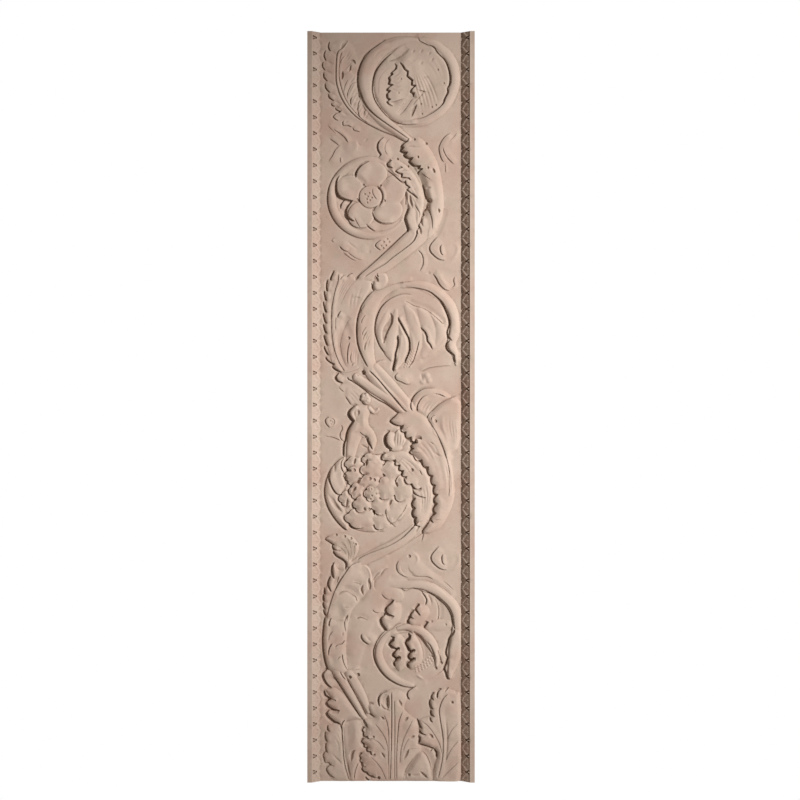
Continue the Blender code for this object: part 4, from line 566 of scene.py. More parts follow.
def upper_birds(r):
    # the bird under the first leaf: a lifted wing, a lower wing, breast, tail and legs
    swell(r, at(-39, 636), 8, 9, 20, 0.14)
    swell(r, at(-53, 649), 12, 6, -45, 0.08)
    edge(r, line(-64, 658.5, 4, -4.5, 5, -5), 0.07, 6, 0.04, 2)
    edge(r, line(-58, 654, 7, -4.5, 5, -4.5, 3, -5), 0.1, 6, 0.07, 2)
    crease(r, line(-50, 651, 5, -5, 3, -7), 2, -0.06)
    edge(r, line(-62, 645, 5, -3.5, 5, -4), 0.09, 6, 0.09, 2.2)
    edge(r, line(-51, 638, -5, -5, -3, -6, -4, -5.5), 0.09, 8, 0.08, 2.4)
    edge(r, line(-51, 626, 0.3, -6), 0.07, 3, 0.07, 1.8, fade=2)
    edge(r, line(-34, 631, 0.5, 7, -1.5, 5), 0.06, 6, 0, 1)
    crease(r, line(-34, 641, 4, -4.5), 2, 0.08)
    crease(r, line(-27, 641, 3.5, 4), 2, 0.08)
    # the bird at the right edge, its wing up the moulding
    swell(r, at(58, 636), 7, 13, 0, 0.14)
    each(edge, r,
        (line(60, 650, -5, -3, -4, -5, -2.5, -6, 0.5, -6, 2, -6, 2.5, -3.5), 0.11, 8, 0.09, 1.8),
        (line(66.5, 651, -3.5, -5, -4.5, -4.5), 0.07, 5, 0.04, 1.8),
        (line(52, 636, 1.5, -5, 3.5, -6, 6.5, -6.5), 0.09, 7, 0.07, 1.8))
    edge(r, line(54.5, 620, 0.3, -10), 0.05, 3, 0.05, 1.8, fade=2)
    # the bird that flies under the second volute
    swell(r, at(-41, 533), 17, 7, -38, 0.16)
    edge(r, line(-56, 544.5, -3.5, -1.5, 2.5, -3), 0.07, 6, 0.07, 2, fade=2)
    each(edge, r,
        (line(-52, 537, 4, -4, 5, -2), 0.11, 7, 0.12, 2.2),
        (line(-48.5, 531, 4.5, -4, 5, -3.5, 5, -1.5), 0.06, 3, 0.05, 1.6),
        (line(-44, 531, 5, -4, 5, -3, 6, -1.5), 0.06, 6, 0.05, 1.8))
    for k in range(3):
        crease(r, line(-46, 542, 4, -2, 3, -4) + (3 * k, -2.4 * k), 1.8, 0.06)
    swell(r, at(-27, 534.5), 4, 4, 0, 0.11)
    drill(r, at(-22, 531), 1.6, 0.06)


def five_petals(r):
    centre = at(-20.5, 586)
    # the ring that the stem makes, thick at the left and lost at the right
    stem(r, arc(at(-21, 584.5), 38.5, 330, 40, 0.97), (3, 5, 7, 8, 8.5, 8.5, 8, 7.5, 7, 6, 4),
        (0.1, 0.21, 0.26, 0.28, 0.25, 0.2, 0.16, 0.08), foot=0.05, smooth=False)
    edge(r, arc(at(-21, 585), 42.5, 78, 278, 0.975), (0.02, 0.07, 0.1, 0.11, 0.08, 0.05, 0.02), 9,
        (0.05, 0.09, 0.14, 0.16, 0.11, 0.08, 0.04), 1.8, smooth=False)
    edge(r, line(-13, 548, 10, 3, 8, 5.5, 5, 6.5), -0.07, 6, 0.08, 1.6)
    patch(r, line(-45, 612, 16, 10, 18, 0, 16, -10, 10, -16, 1, -20, -7, -15, -15, -8, -19, 0, -16, 9,
        -9, 15, -2, 19), 0.1, 6, 0.07)
    # five cupped petals about a button
    for place, across, up, turn in (
            (at(-40.5, 594.5), 14.5, 13, -20), (at(-19.5, 608.5), 15.5, 13.5, 5),
            (at(1.5, 592), 13, 16, -25), (at(-3, 571), 15, 12, 25), (at(-30, 568), 13.5, 13, 30)):
        blob(r, place, across, up, turn, 0.42, foot=0.45, power=2.6)
        swell(r, place + (1.5, 0), 0.5 * across, 0.5 * up, turn, -0.07)
    edge(r, line(-51.5, 607.5, -2.5, -5.5, -0.5, -7, 2, -6.5, 5.5, -4, 9, -2.5), 0.16, 12, 0.36,
        (2, 6, 7, 5, 2), fade=4)
    edge(r, line(-22, 621.5, -7, -4, -4.5, -5.5, -2, -7.5), 0.16, 12, 0.28, 2.8, fade=4)
    edge(r, line(-38, 582.5, -4.5, -5.5, -2, -5, 2, -6, 6, -4.5), 0.16, 12, 0.36, (2, 5, 7, 6, 2), fade=3)
    edge(r, line(-46, 583.5, -3.5, -4.5, -1, -5.5), 0.14, 6, 0.26, 2.4, fade=3)
    each(edge, r,
        (line(-35, 604.5, 5, -2.5, 2.5, -4.5), -0.09, 5, 0.07, 1.6),
        (line(-4, 604.5, -3.5, -3.5, -3, -4), -0.09, 6, 0.09, 1.8),
        (line(-18.5, 573, 1, -6, 4.5, -5, 6, -2.5, 10, 0.5), 0.14, 9, (0.07, 0.2, 0.17, 0.07), 1.9))
    edge(r, line(-25, 559, 4, -4, 5.5, -3.5), 0.14, 7, 0.17, 2, fade=3)
    edge(r, line(-37, 566, 3, -6, 3, -5), 0.07, 6, 0.05, 2)
    for spot in line(-27.7, 598, 17.2, -0.8, -23.5, -13.8, 27.5, -1.4, -12, -9.5):
        drill(r, spot, 1.1, 0.19)
    hollow(r, centre, 14.5, 0.1)
    blob(r, centre, 11.2, 11, 0, 0.46, foot=0.72, over=True)
    edge(r, arc(centre, 11.4, 110, 290), 0.02, 6, 0.13, 1.6, smooth=False)
    edge(r, arc(centre, 12.6, 60, -50), 0.11, 4, 0.15, 2.6, smooth=False)
    edge(r, line(-18.5, 594.5, 0.5, -5.5, 4, -6.5), 0.05, 4, 0.09, 1.5)
    for spot in line(-26.5, 588.5, 3, -2.3, 1.5, 3.3, 2.5, -4.5, -5, -1.6, 0.5, -3.4, 2.6, 2.4):
        drill(r, spot, 1, 0.12)


def calyx_two(r):
    # the stem as two strands, bound by its calyx
    stem(r, line(45, 596, 0, -16, -6, -16, -10, -14, -14, -13, -14, -12, -14, -10, -14, -9, -10, -7),
        (10, 12, 16, 19, 19, 17, 16, 13, 6), (0.3, 0.4, 0.44, 0.42, 0.38, 0.34, 0.3, 0.24), foot=0.18)
    edge(r, line(18, 553, -7, -6.5, -7, -6.5, -10, -9.5, -10, -9.5, -18, -15.5), 0.14, 8,
        (0.2, 0.2, 0.16, 0.13, 0.11), 2)
    edge(r, line(27, 552, -2, -7, -5, -6.5, -18, -13.5, -8, -6.5, -10, -6, -11, -7.5), 0.11, 8,
        (0.26, 0.22, 0.16, 0.13, 0.08), 2)
    # the outer leaf: ragged down its left, smooth and full down its right
    patch(r, line(20, 645, 10, 0, 10, -12, 7, -14, 4, -17, 2, -18, -1, -14, -6, -16, -9, -10, -4, 12,
        4, 18, -3, 16, -5, 14, -6, 12, -8, 10, -5, 8, 3, 7), 0.42, 7, 0.09)
    edge(r, line(18.5, 644.5, -1.5, -3, -3, -1.5, -2.5, -2.5, 1.5, -2.5, -2.5, -2.8, 6, -1.7, -2.2, -2.8,
        3.7, -2.7, 4, 0, -2.5, -3.5, 3.5, -3.5, 3.5, -1, 3, 0, -1, -3, 3.5, 0, -3.5, -2.5, -1.2, -3.5),
        (0.14, 0.28, 0.3, 0.28, 0.14), 20, 0.28, 2.6, fade=2, level=0.1, smooth=False)
    edge(r, line(27, 609, 3, -8, 2.5, -10, 1, -10, -1.5, -10, -2, -6), -0.16, 8, 0.03, 1.4)
    edge(r, line(32, 599, 2.3, -6, 1.2, -5, 4.5, -7.5), 0.18, 10, 0.24, 2.4, fade=2)
    crease(r, line(35, 594.2, 2.5, 0.8, 3, 0), 2, 0.19)
    swell(r, at(38.5, 582), 2.5, 2.2, 0, -0.27)
    swell(r, at(36, 570), 4, 13, 8, -0.16)
    edge(r, line(36, 579, 3.5, -9, 2, -9, 0, -8), 0.09, 6, 0.07, 1.6)
    edge(r, jagged(line(36, 574, -3, -8, -3, -8, -2.5, -9), 4, 1.6), 0.09, 6, 0.27, 2.4, fade=2,
        smooth=False)
    cut(r, line(32.3, 566, -2.3, -5, 2, -5), 3, 0.22)
    cut(r, line(28.5, 556, 0.5, -4, 1, -4), 3.4, 0.27)
    edge(r, line(52.5, 575, -1, -8, -3.5, -10, -5, -10), -0.09, 6, 0.04, 1.6)
    for spot in line(23.5, 643.5, 12, -4, -8.5, -14, 10, -10.5, -30.5, 9, 10.5, -7.5):
        drill(r, spot, 1.2, 0.22)
    cut(r, line(41.8, 614.5, 1, -2.5, 1.2, -2.3), 3, 0.38)
    cut(r, line(47.8, 574, 0.2, -4), 3, 0.38)
    # the inner leaf, lower, over the blossom's ring
    patch(r, line(-1, 625, 8, -2, 10, -7, 7, -8, 6, -12, 3, -14, -2, -14, -4, -14, -8, -2, -5, 12, 3, 12,
        -3, 16, -7, 12, -10, 12), 0.36, 4, 0.14)
    edge(r, line(1, 622.5, -4.7, -3, 0.7, -2, 5, -2.5), 0.14, 7, 0.3, 2.4, fade=2, smooth=False)
    edge(r, line(12, 615.2, -4, -1.2, -3, -2, 3, -2.2, 3.7, -0.8, -0.7, -3.3, 7.3, -0.7, 2.2, -2.5), 0.2,
        11, 0.32, 2.6, fade=2, smooth=False)
    edge(r, line(-4, 613, 6, -4.3, 9.5, -8, 3, 1.5, 1, -3.7, 3.7, -3.3, -2.4, -1.5, 3.2, -3.5, 4, -2.4,
        3.5, -3.8), 0.14, 6, (0.07, 0.16, 0.28, 0.27, 0.2), 2.2, fade=2)
    edge(r, line(15, 592, 0.3, -8, -0.3, -6.5), 0.09, 4, 0.16, 1.6, fade=2)
    cut(r, line(18.6, 588, 0.6, -6, 2.1, -7), 3.6, 0.3)
    edge(r, line(18.6, 575, -1.6, -5, -1.7, -5, 1.7, -6, 1, -5, -1, -4), 0.14, 9, 0.28, 3, fade=2)
    edge(r, line(23, 579, 3.5, -5, 2.5, -5, -1, -4.5), 0.07, 4, 0.07, 1.5)
    fan(r, line(18, 602, 5, -8, 4, -8), line(22, 572, 3, -8, 1, -9), 5, 2, 0.08)


def small_things(r):
    # a small blossom over the second stem
    swell(r, at(-8.5, 538.5), 8, 6, 25, 0.19)
    edge(r, line(-10, 542.5, -4, -2.5, -1.5, -2.5, 2, -2.5, 3, -2.5), 0.07, 6, 0.15, 1.8, fade=2)
    for spot in line(-4, 543.7, -3.5, -2.9, 5.5, 0, -8.2, -4, 4.9, 0.4, -2.7, -2.7):
        drill(r, spot, 1.1, 0.12)
    # a lily on a thin tendril, and the like lily lower down
    for lily in line(52, 533, 1.5, -310.5):
        swell(r, lily + (0.5, 0), 13, 13, 0, 0.14)
        edge(r, lily + line(-4.5, 13.5, -3.8, -3.8, -3.4, -4.3, -1.3, -3.8, 1.4, -4, 3.6, -3.8, 5, -3.4,
            6, -1), 0.12, 10, (0.07, 0.16, 0.18, 0.16, 0.07), 2.2, fade=3)
        edge(r, lily + line(-1, 5.5, -1.3, -3.5, 0.6, -4.5, 2.2, -3.5), 0.11, 5, (0.06, 0.16, 0.16, 0.1),
            2, fade=2)
        crease(r, lily + line(10, 8, 5, -6, -2, -8, -6, -6), 4, -0.09)
    edge(r, line(27, 533, 4, -4, 1.6, -6, -0.6, -6, -3.2, -5.5), 0.07, 5, 0.11, 1.8)
    # a pod and its hook
    swell(r, at(51, 503), 9, 6, -50, 0.14)
    edge(r, line(42, 509, 3.5, -4, 3.5, -6.5, 5, -5, 5, -1.5), 0.14, 8, (0.07, 0.16, 0.13, 0.07), 2)
    crease(r, line(49, 508, 3, -6, 6, -6), 3, -0.07)
    edge(r, line(64, 506, -1, -4, 1, -4.5, -3, -2.5), 0.07, 4, 0.09, 1.8, fade=2)
    drill(r, at(38, 509.7), 1.4, 0.09)


def leaf_three(r):
    # the tall leaf at the left: a toothed side, a soft rib, and folded lobes to its right
    patch(r, line(-55, 512, 10, -6, 12, -1, 14, -5, -6, -16, -7, -16, -2, -16, 4, -20, 7, -16, -12, -6,
        -14, -2, -9, 8, -5, 16, -3, 16, 0, 22, 1, 18, 3, 14), 0.22, 4, 0.12)
    serrate(r, line(-56.5, 512, -5.5, -7, -3.8, -9, -1.5, -12, -0.5, -14, 0.3, -14, 0.8, -14, 0.2, -10,
        2.5, -10, 6, -7, 6, -7), 10, 3.6)
    fan(r, line(-58, 502, -3, -8, -1, -8), line(-55, 430, -3, -10, 2, -7), 9, 2.4, 0.06)
    edge(r, line(-52.5, 510, -0.5, -8, -3, -10, -2.5, -12, -1.2, -13, 0, -13, 1, -12, 2.7, -12, 4, -10,
        5.5, -9), 0.11, 5, 0.05, 2.6)
    edge(r, line(-55, 466, -1, -6, 0.3, -8), 0.06, 4, 0.05, 1.4)
    for tip in (line(-47, 507.5, -2.5, -2.5, -1.5, -2.5), line(-38.5, 509, -3.5, -1.2, -2.2, -2.3)):
        edge(r, tip, 0.11, 6, 0.15, 1.8, fade=1.5)
    cut(r, line(-32, 507.5, -2.5, -2, -1.2, -3), 3.6, 0.38)
    # lobes
    edge(r, line(-44, 414, -4, 10, -2, 9, 0, 9, 2.5, 9, 3.5, 8, 4, 6), -0.14, 8, 0.07, 1.8)
    swell(r, at(-44.5, 454), 3.5, 9, 20, -0.11)
    edge(r, line(-41, 441, -2, -7, -0.7, -8, 0.4, -8), 0.11, 8, 0.08, 1.6)
    edge(r, line(-50, 471.5, -2.3, -3, -1.4, -4), 0.14, 8, 0.2, 2, fade=2)
    drill(r, at(-42.5, 444.3), 1.5, 0.22)
    fan(r, line(-46, 505, -6, -10, -4.5, -12), line(-35, 505, -10, -14, -8, -17), 5, 1.8, 0.08)
    fan(r, line(-39, 490, -2, -8, -1, -9), line(-29, 498, -4, -12, -2, -12), 3, 2.4, 0.06)
    edge(r, line(-39, 485, 5, 0.5, 4, -1), 0.06, 5, 0.04, 1.4)
    edge(r, line(-39.5, 430, -1, -6, 1.5, -6), 0.07, 6, 0.04, 1.6)
    fan(r, line(-41, 417, 0, 9, 2, 10), line(-34, 416, 0, 8, 1, 8), 4, 2, 0.08)
    edge(r, line(-36.5, 419.5, -2, -1.5, -1.3, -2), 0.05, 3, 0.09, 1.6, fade=1.5)


def volute_three(r):
    # the stem, then the leafy band, the rim and the dish that they close
    patch(r, line(7, 498, 16, 0, 16, -4, 12, -10, 8, -16, 0, -16, -6, -16, -14, -11, -16, -4, -16, 0,
        -12, 7, -8, 12, -3, 14, 1, 14, 8, 12), 0.14, 5, 0.1)
    band(r, line(66, 418, -2, 12, -3, 9, 3, 12, -0.2, 14, -4.3, 12, -8.5, 9, -11, 7.5, -13, 4.5, -14, 1),
        (3, 7, 9, 10, 9, 10, 11, 12, 11, 8, 5), (0.14, 0.3, 0.36, 0.36, 0.36, 0.34, 0.3, 0.2), foot=0.28,
        soft=0.9)
    stem(r, line(21, 368, -12, 12, -12, 11, -12, 12, -6, 11, -3.5, 12, -1.5, 13, 0, 13, 1.5, 14, 4.5, 12,
        8, 10, 11, 6.5, 14, 3), (8, 9, 10, 11, 13, 15, 17, 18, 18, 16, 12, 8, 5),
        (0.36, 0.4, 0.4, 0.4, 0.42, 0.42, 0.38, 0.3, 0.2), foot=0.2)
    each(edge, r,
        (line(-18, 491.5, -4.5, -4.5, -4.5, -6, -3.5, -7, -3.2, -15, 0.2, -16, 2, -9, 3.5, -9, 5, -10),
            0.13, 9, (0.11, 0.18, 0.22, 0.18, 0.1), 2.3),
        (line(21, 487.5, -9, 0.8, -8, -2.3, -7, -4, -6, -6, -4, -8, -2.2, -8, -0.6, -7, 1.3, -7, 3, -8,
            4.5, -7, 6, -5, 6.5, -3.7), 0.11, 12, (0.07, 0.13, 0.24, 0.24, 0.16, 0.07), 2.2),
        (line(-17, 492, 7, 1.5, 7, 3.5, 8, 2.3, 8, 1.4, 9, 1.3), 0.09, 6, 0.07, 1.6),
        (line(9, 494.5, 12, 0.5, 9, -1.2, 9, -2.8, 7, -5, 6.5, -6.5, 3.5, -8.5, 4, -11.5, -2.3, -6,
            -0.7, -4.5, 2, -4, 2.5, -3), 0.11, 9, (0.03, 0.11, 0.2, 0.3, 0.34, 0.3),
            (2, 2.4, 3.4, 3.8, 3.4)))
    edge(r, line(59.5, 442.5, -3, -4.5, 0.2, -4.5, 6.5, -5.5, 0.8, -4, 1, -4.5), 0.16, 7, 0.24, 2.4,
        fade=2)
    edge(r, line(58, 444, -3, -5.5, -5.5, -5.5, -6.5, -4.5, -6, -3, -8, -2.5), -0.09, 7, 0.09, 2)
    # folds of the band
    for k, (tall, deep) in enumerate(((8, 0.06), (10, 0.1), (11, 0.08), (9, 0.08))):
        edge(r, line(-26, 478, -3.5, -5, -1, -4) + (0.8 * k, -tall * k), 0.05, 4, deep, 1.4, fade=2)
    for k in range(4):
        crease(r, line(-23, 454, -3, -5, -1.5, -7) + (1.3 * k, -2.5 * k), 1.4, 0.08)
    cut(r, line(-25, 441, -1.7, -5, 0, -4.5), 2.2, 0.22)
    edge(r, line(-5, 422.2, -7, -0.7, -4, -3, -2, -3), 0.07, 4, 0.08, 1.8)
    # the small curl over the band
    patch(r, line(-12, 511, 7, -2, 2, -8, -4, -7, -8, -2, -3, 5, 2, 8), 0.24, 3, 0.14)
    edge(r, line(-13, 509.5, -0.5, -2, 1.5, -1.5), 0.09, 5, 0.2, 2, fade=1.5)
    cut(r, line(-16, 506.5, 0.5, -2.5, 2.5, -3), 4.6, 0.45)
    edge(r, line(-20, 500, 1.8, -3, 0.7, -5.5), 0.18, 9, 0.26, 2.4, fade=2)
    # the lily: petals like split husks, and a spray of seeds
    for spine, w in (
            (line(-3, 473, -4, -9, -4, -12, 2, -15), (5, 9, 9, 4)),
            (line(5, 472, -2, -12, -3, -14, -2, -14, 3, -8), (6, 11, 14, 13, 6)),
            (line(9, 464, 4, -14, 0, -14, -4, -14, -4, -8), (6, 11, 11, 9, 4)),
            (line(15, 476, 6, -12, 4, -14, 1, -14, -5, -12), (7, 15, 14, 13, 6)),
            (line(29, 473, 6, -11, 4, -12, -2, -12, -5, -10), (9, 17, 18, 16, 8)),
            (line(41, 469, 6, -9, 2, -10, -3, -11), (6, 11, 13, 8))):
        stem(r, spine, w, (0.24, 0.32, 0.34, 0.3, 0.2), foot=0.16)
    cut(r, line(-0.5, 468.5, 1, -3.5, -1.5, -5, -3, -5, -2.5, -6, -1.1, -9), 6.2, 0.62)
    each(edge, r,
        (line(7, 465.5, 4, -7, 4, -7.5, 3.5, -7, 1.1, -7, -0.8, -7, -4.8, -10.5), 0.14, 6,
            (0.3, 0.38, 0.4, 0.38, 0.26), (2.4, 3.6, 4.2, 3.8, 2.6)),
        (line(7, 447.5, 1, -6.5, -1, -6, -1.7, -6, -0.3, -5, -2.5, -13.5), 0.13, 5, 0.4, 4),
        (line(29.5, 455.5, 4.5, -4, 2.5, -5, 0.8, -5, 2.7, -3.5, 2, -5), 0.1, 5,
            (0.14, 0.28, 0.33, 0.33, 0.26), 3),
        (line(13, 481.7, 4.5, -1.2, 5.5, -3.2, 13, -4.8, 17, -14), -0.08, 6, (0.1, 0.18, 0.13, 0.14, 0.24),
            2))
    crease(r, line(18, 475, 5, -6, 3, -8, 4, -7), 3, -0.07)
    edge(r, line(28.5, 442, -1.5, -7, -1.7, -6, -3, -8, -4.8, -6.5), 0.05, 3, 0.18, 1.8)
    seeds(r, at(23.6, 431.5), (-0.8, -2.5), (-2.5, -0.5), 7, 3, 1, 0.1)


def collar_three(r):
    # the collar, and the two strands of the stem that part from it
    for spine, w in (
            (line(12, 373, -15, 11, -16, 10, -16, 11), (10, 9, 9, 8)),
            (line(20, 373, -12, 15, -11, 13, -13, 14), (11, 10, 10, 9))):
        stem(r, spine, w, (0.4, 0.4, 0.38, 0.36), foot=0.14)
    edge(r, line(-41, 402.5, 8, -4.5, 7, -5.5, 6, -5, 8, -5, 9, -5, 11, -8.5), 0.07, 5,
        (0.2, 0.2, 0.2, 0.26, 0.2, 0.2), 2.6)
    edge(r, line(-22, 412, 4, -3, 7, -7.5, 8, -9.5, 8, -9, 6, -7.5, 5, -5), 0.07, 5, 0.24, 2.8)
    swell(r, at(-39, 406), 16, 5, 12, 0.22)
    edge(r, line(-52, 409.5, -2.7, -4, 2.2, -3.8, 4.5, -2.2), 0.23, 8, 0.33, 4, fade=2)
    edge(r, line(-43.5, 405.5, 1.5, -2.5, 3, -1), 0.09, 4, 0.26, 2, fade=1)
    edge(r, line(-48, 409, 7, 1.7, 6, 2.3, 3, 2.5), 0.05, 4, 0.08, 1.8)
    drill(r, at(-27.7, 409.7), 2.2, 0.38)
    cut(r, line(-35, 408, 1.5, -1, 1.5, -0.3), 2, 0.15)
    # a bird's head, and what it sits under
    swell(r, at(12, 404), 10, 6, -15, 0.19)
    edge(r, line(7.5, 409.5, -3.2, -3, 1.7, -4, 5, -2.2, 5.5, -2.3, 3.5, 2), 0.11, 8,
        (0.07, 0.16, 0.11, 0.13, 0.03), 1.8, fade=2)
    edge(r, line(29.5, 410.3, 3.5, 2.2, 6, 2.3, 10, 1.4, 12, 0.8), 0.08, 7, (0.2, 0.13, 0.07, 0.03), 2)
    for spot in line(36, 407, -4, -6.5, 6, 1.5):
        swell(r, spot, 2.6, 2.4, 0, 0.16)
    crease(r, line(30, 410, 1, -5, 1.5, -5), 2.4, 0.11)
    # the leaf that curls like a hood
    patch(r, line(22, 371, -0.5, 10, 4.5, 7.5, 8, 4, 12, 1, 10, -3.5, 4, -6, -10, -5, -8, -7, -5, -8),
        0.24, 6, 0.1)
    edge(r, line(45, 394, -11, -0.6, -7, -3.4, -4.8, -6, -2, -6.5, 1.3, -6.5), 0.11, 10,
        (0.03, 0.2, 0.33, 0.33, 0.2), 3)
    edge(r, line(37, 387, -5, -2, -3.5, -4.5, -1.8, -5, 0.3, -6.5), 0.11, 8, (0.03, 0.16, 0.24, 0.2), 2.2)
    fan(r, line(40, 382, -6, -4, -4, -7), line(46, 381, -6, -5, -4, -9), 3, 2.2, 0.09)
    edge(r, line(42, 389, 5, -0.6, 3, -0.7, 5, -2.2), 0.05, 4, (0.03, 0.11, 0.26, 0.07), 2.2, fade=2)
    # the bird that looks down from the right
    patch(r, line(61, 385, 9, -5, 0, -22, -1, -16, -3, -9, -6, -6, -5, -8, -4, 11, -4, 10, -7, 7, -1, 11,
        -1, 8, 7, 8, 8, 6), 0.26, 5, 0.1)
    edge(r, line(67, 386.7, -9, -3.5, -8.5, -4.6, -6.5, -5.6, -4.7, -5, -1.7, -4.5, 1.9, -5.5), 0.11, 10,
        (0.04, 0.08, 0.13, 0.16, 0.2, 0.16), 2)
    edge(r, line(39, 358, -1, -5.5, 2.3, -6, 5.7, -4.5, 3.5, -6, 2.5, -8.5, 3.5, -8.5), 0.16, 11,
        (0.07, 0.16, 0.17, 0.17, 0.2, 0.2), 2.2)
    crease(r, line(52, 370, 0, -14, 4, -12, 2, -12), 4, -0.1)
    swell(r, at(57, 362), 10, 18, 15, 0.12)
    drill(r, at(44.7, 361), 1.5, 0.18)
    edge(r, line(44.5, 366.7, -3.5, -1.5, -0.7, -3.7), 0.05, 3, 0.13, 1.6, fade=1.5)
    fan(r, line(58, 368, 1, -16, 5, -17), line(66, 362, 2, -14, -1, -13), 4, 2, 0.05)
    edge(r, line(66.5, 332.5, -3.5, -2, -3, -4), -0.06, 5, 0.08, 1.8, fade=2)


def putto(r):
    # a small winged child, standing
    patch(r, line(-45, 397, 7, -3, 9, -6, 3, -7, -5, -5, -8, 1, -7, 9), 0.09, 4, 0.04)
    edge(r, line(-52.5, 395.5, 2.5, -2.8, 3, -2.2), 0.05, 6, 0.13, 1.6, fade=2)
    edge(r, line(-46, 386, 3, -4, 3, -5), 0.06, 6, 0.11, 1.6, fade=2)
    fan(r, line(-41, 393, 6, -5, 5, -7), line(-45, 389, 5, -5, 4, -6), 3, 2, 0.05)
    patch(r, line(-37, 377, 7, 0.5, 6, -1, 3, -4.5, -2, -9, 1, -8, 2, -6, -6, -4, -9, 1, -6, 4, 2, 8, 1, 7,
        -1, 7), 0.46, 6, 0.14)
    each(stem, r,
        (line(-33, 358, -3, -10, -3, -12, -2, -12), (13, 14, 11, 8), (0.42, 0.4, 0.34, 0.26)),
        (line(-27, 354, 5.5, -6, 3, -7, -1.5, -8), (11, 10, 8, 6), (0.44, 0.4, 0.34, 0.26)),
        (line(-35, 374, -4, -5, 3, -7), (6, 6, 4), 0.4),
        (line(-22, 374, 5, -4, 4, 3), (5, 4, 3), (0.36, 0.3, 0.2)),
        foot=0.2)
    each(edge, r,
        (line(-33.5, 377.5, -5, -3, -3, -4.5, 1.5, -4.5, 3.7, -3.8), 0.14, 6, (0.13, 0.26, 0.4, 0.4, 0.26),
            3.4),
        (line(-36, 362, -6.7, -10, -1.8, -8, -2.2, -7, -0.6, -11.5), 0.18, 8,
            (0.33, 0.33, 0.33, 0.33, 0.26), 3.4),
        (line(-32, 351, 4, -3.5, 5, -2.2), 0.05, 5, (0.07, 0.13, 0.13), 1.8),
        (line(-23, 345.3, 0.7, -4.3, 2.3, -4, 1.7, -4.5), 0.07, 5, 0.33, 2.6),
        fade=2)
    cut(r, line(-33.5, 372.5, 0.5, -3, -0.7, -3), 3.4, 0.24)
    cut(r, line(-18.5, 369, 2.5, 2, 2.7, 2), 2, 0.11)
    crease(r, line(-29, 375, 1, -11, 0, -10), 4, -0.06)
    crease(r, line(-31, 338, 4, -2.3, 4.3, -2.3), 1.6, 0.16)
    edge(r, line(-27, 327.7, 10, 0, 12, 0.6), 0.06, 5, (0.07, 0.13, 0.26), 2)
    # its head: brow, nose and mouth, calm and plain
    blob(r, at(-24.7, 382.7), 4.4, 5, 15, 0.5, foot=0.25)
    for curl, size in ((at(-28.4, 383.4), 2.2), (at(-27.8, 386.3), 2.3), (at(-24.8, 387.4), 2.1)):
        blob(r, curl, size, size, 0, 0.47, foot=0.34)
    each(crease, r,
        (line(-26.6, 383, 2, 0.5, 2.4, -0.5), 1.3, 0.11),
        (line(-24.1, 383.2, 0.2, -1.2, 0, -1), 1.1, -0.1),
        (line(-25.2, 379.7, 1.3, -0.2, 1.3, 0.4), 1, 0.11))
    # a small flower on its tendrils
    swell(r, at(-60.5, 360.5), 6, 6, 0, 0.16)
    edge(r, line(-62, 365, -3.6, -2, 0.6, -4, 3.5, -4.5), 0.09, 5, 0.17, 1.8, fade=2)
    edge(r, arc(at(-60, 360.5), 3.6, 100, -80), 0.05, 2, 0.1, 1.4, smooth=False)
    for spot in line(-61.5, 361.5, 2.5, -1.5, -1.5, -2):
        drill(r, spot, 0.9, 0.08)
    edge(r, line(-50, 357.5, 1.3, -4, -2.3, -5, 0.5, -4.5, 4, -4), 0.06, 4, 0.13, 1.7)
    edge(r, line(-67, 346, 7, -0.7, 5, -1.6, 4.5, -2.2), 0.05, 4, (0.04, 0.11, 0.11), 1.7)


def leaf_four(r):
    # the long leaf down from the stems: ragged down its left, smooth and full down its right
    patch(r, line(7, 369, 10, 5, 12, -3, 10, -10, 10, -13, 7, -14, 5, -18, 3, -20, -1, -14, -5, -14,
        -9, -14, -14, -6, -3, 3, 7, 11, 5, 12, -1, 14, -4, 16, -9, 16, -9, 10, 0, 8, -10, 10, -1, 7,
        -10, 6), 0.4, 7, 0.1)
    edge(r, line(7.5, 369.5, -3.5, -4, -4, -4, 5, -3.8, 6.5, -1.7), 0.16, 9, (0.13, 0.29, 0.29, 0.2), 3,
        fade=2)
    each(edge, r,
        (jagged(line(13, 357, 2, -5, 4, -5, 7, -4), 3, 4), 0.1, 9, 0.4, 3.6),
        (jagged(line(31, 342.5, -5, -3.5, -2.5, -5, -1, -6.5), 3, 3.4), 0.12, 9, 0.4, 3.6),
        (jagged(line(22, 327.5, 8, -4, 6, -5.5, 5, -8, 3, -9, 3.5, -13.5), 5, 3.6), 0.12, 10, 0.33, 3.2),
        (jagged(line(47.5, 288, -0.5, -9, -1, -9, -3, -10.5), 3, 3.4), 0.14, 10, 0.36, 3.4),
        fade=2, smooth=False)
    edge(r, line(39.5, 262, -3.5, -6, -3.5, -4.5, -0.5, -3.5), 0.16, 9, 0.26, 2.6, fade=2)
    for ridge in (line(27, 358, 12, -14, 10, -17, 5, -19, 1, -18), line(33, 338, 10, -14, 6, -16, 1, -16)):
        crease(r, ridge, 5, -0.07)
    edge(r, line(37, 363, 9, -14, 7, -16, 5, -18, 1, -17, -1, -13), 0.08, 6, 0.07, 2)
    fan(r, line(54, 320, 3, -16, 0, -14), line(61, 312, 2, -14, -1, -14), 3, 2, 0.11)
    fan(r, line(24, 338, 9, -8, 7, -10), line(37, 346, 8, -12, 4, -12), 4, 2.2, 0.06)
    edge(r, line(39, 340.5, 2, -1, 2, -1.5), 0.03, 3, 0.09, 1.5, fade=1)
    crease(r, line(43, 330, 4, -3, 4, -1.5), 2, 0.11)


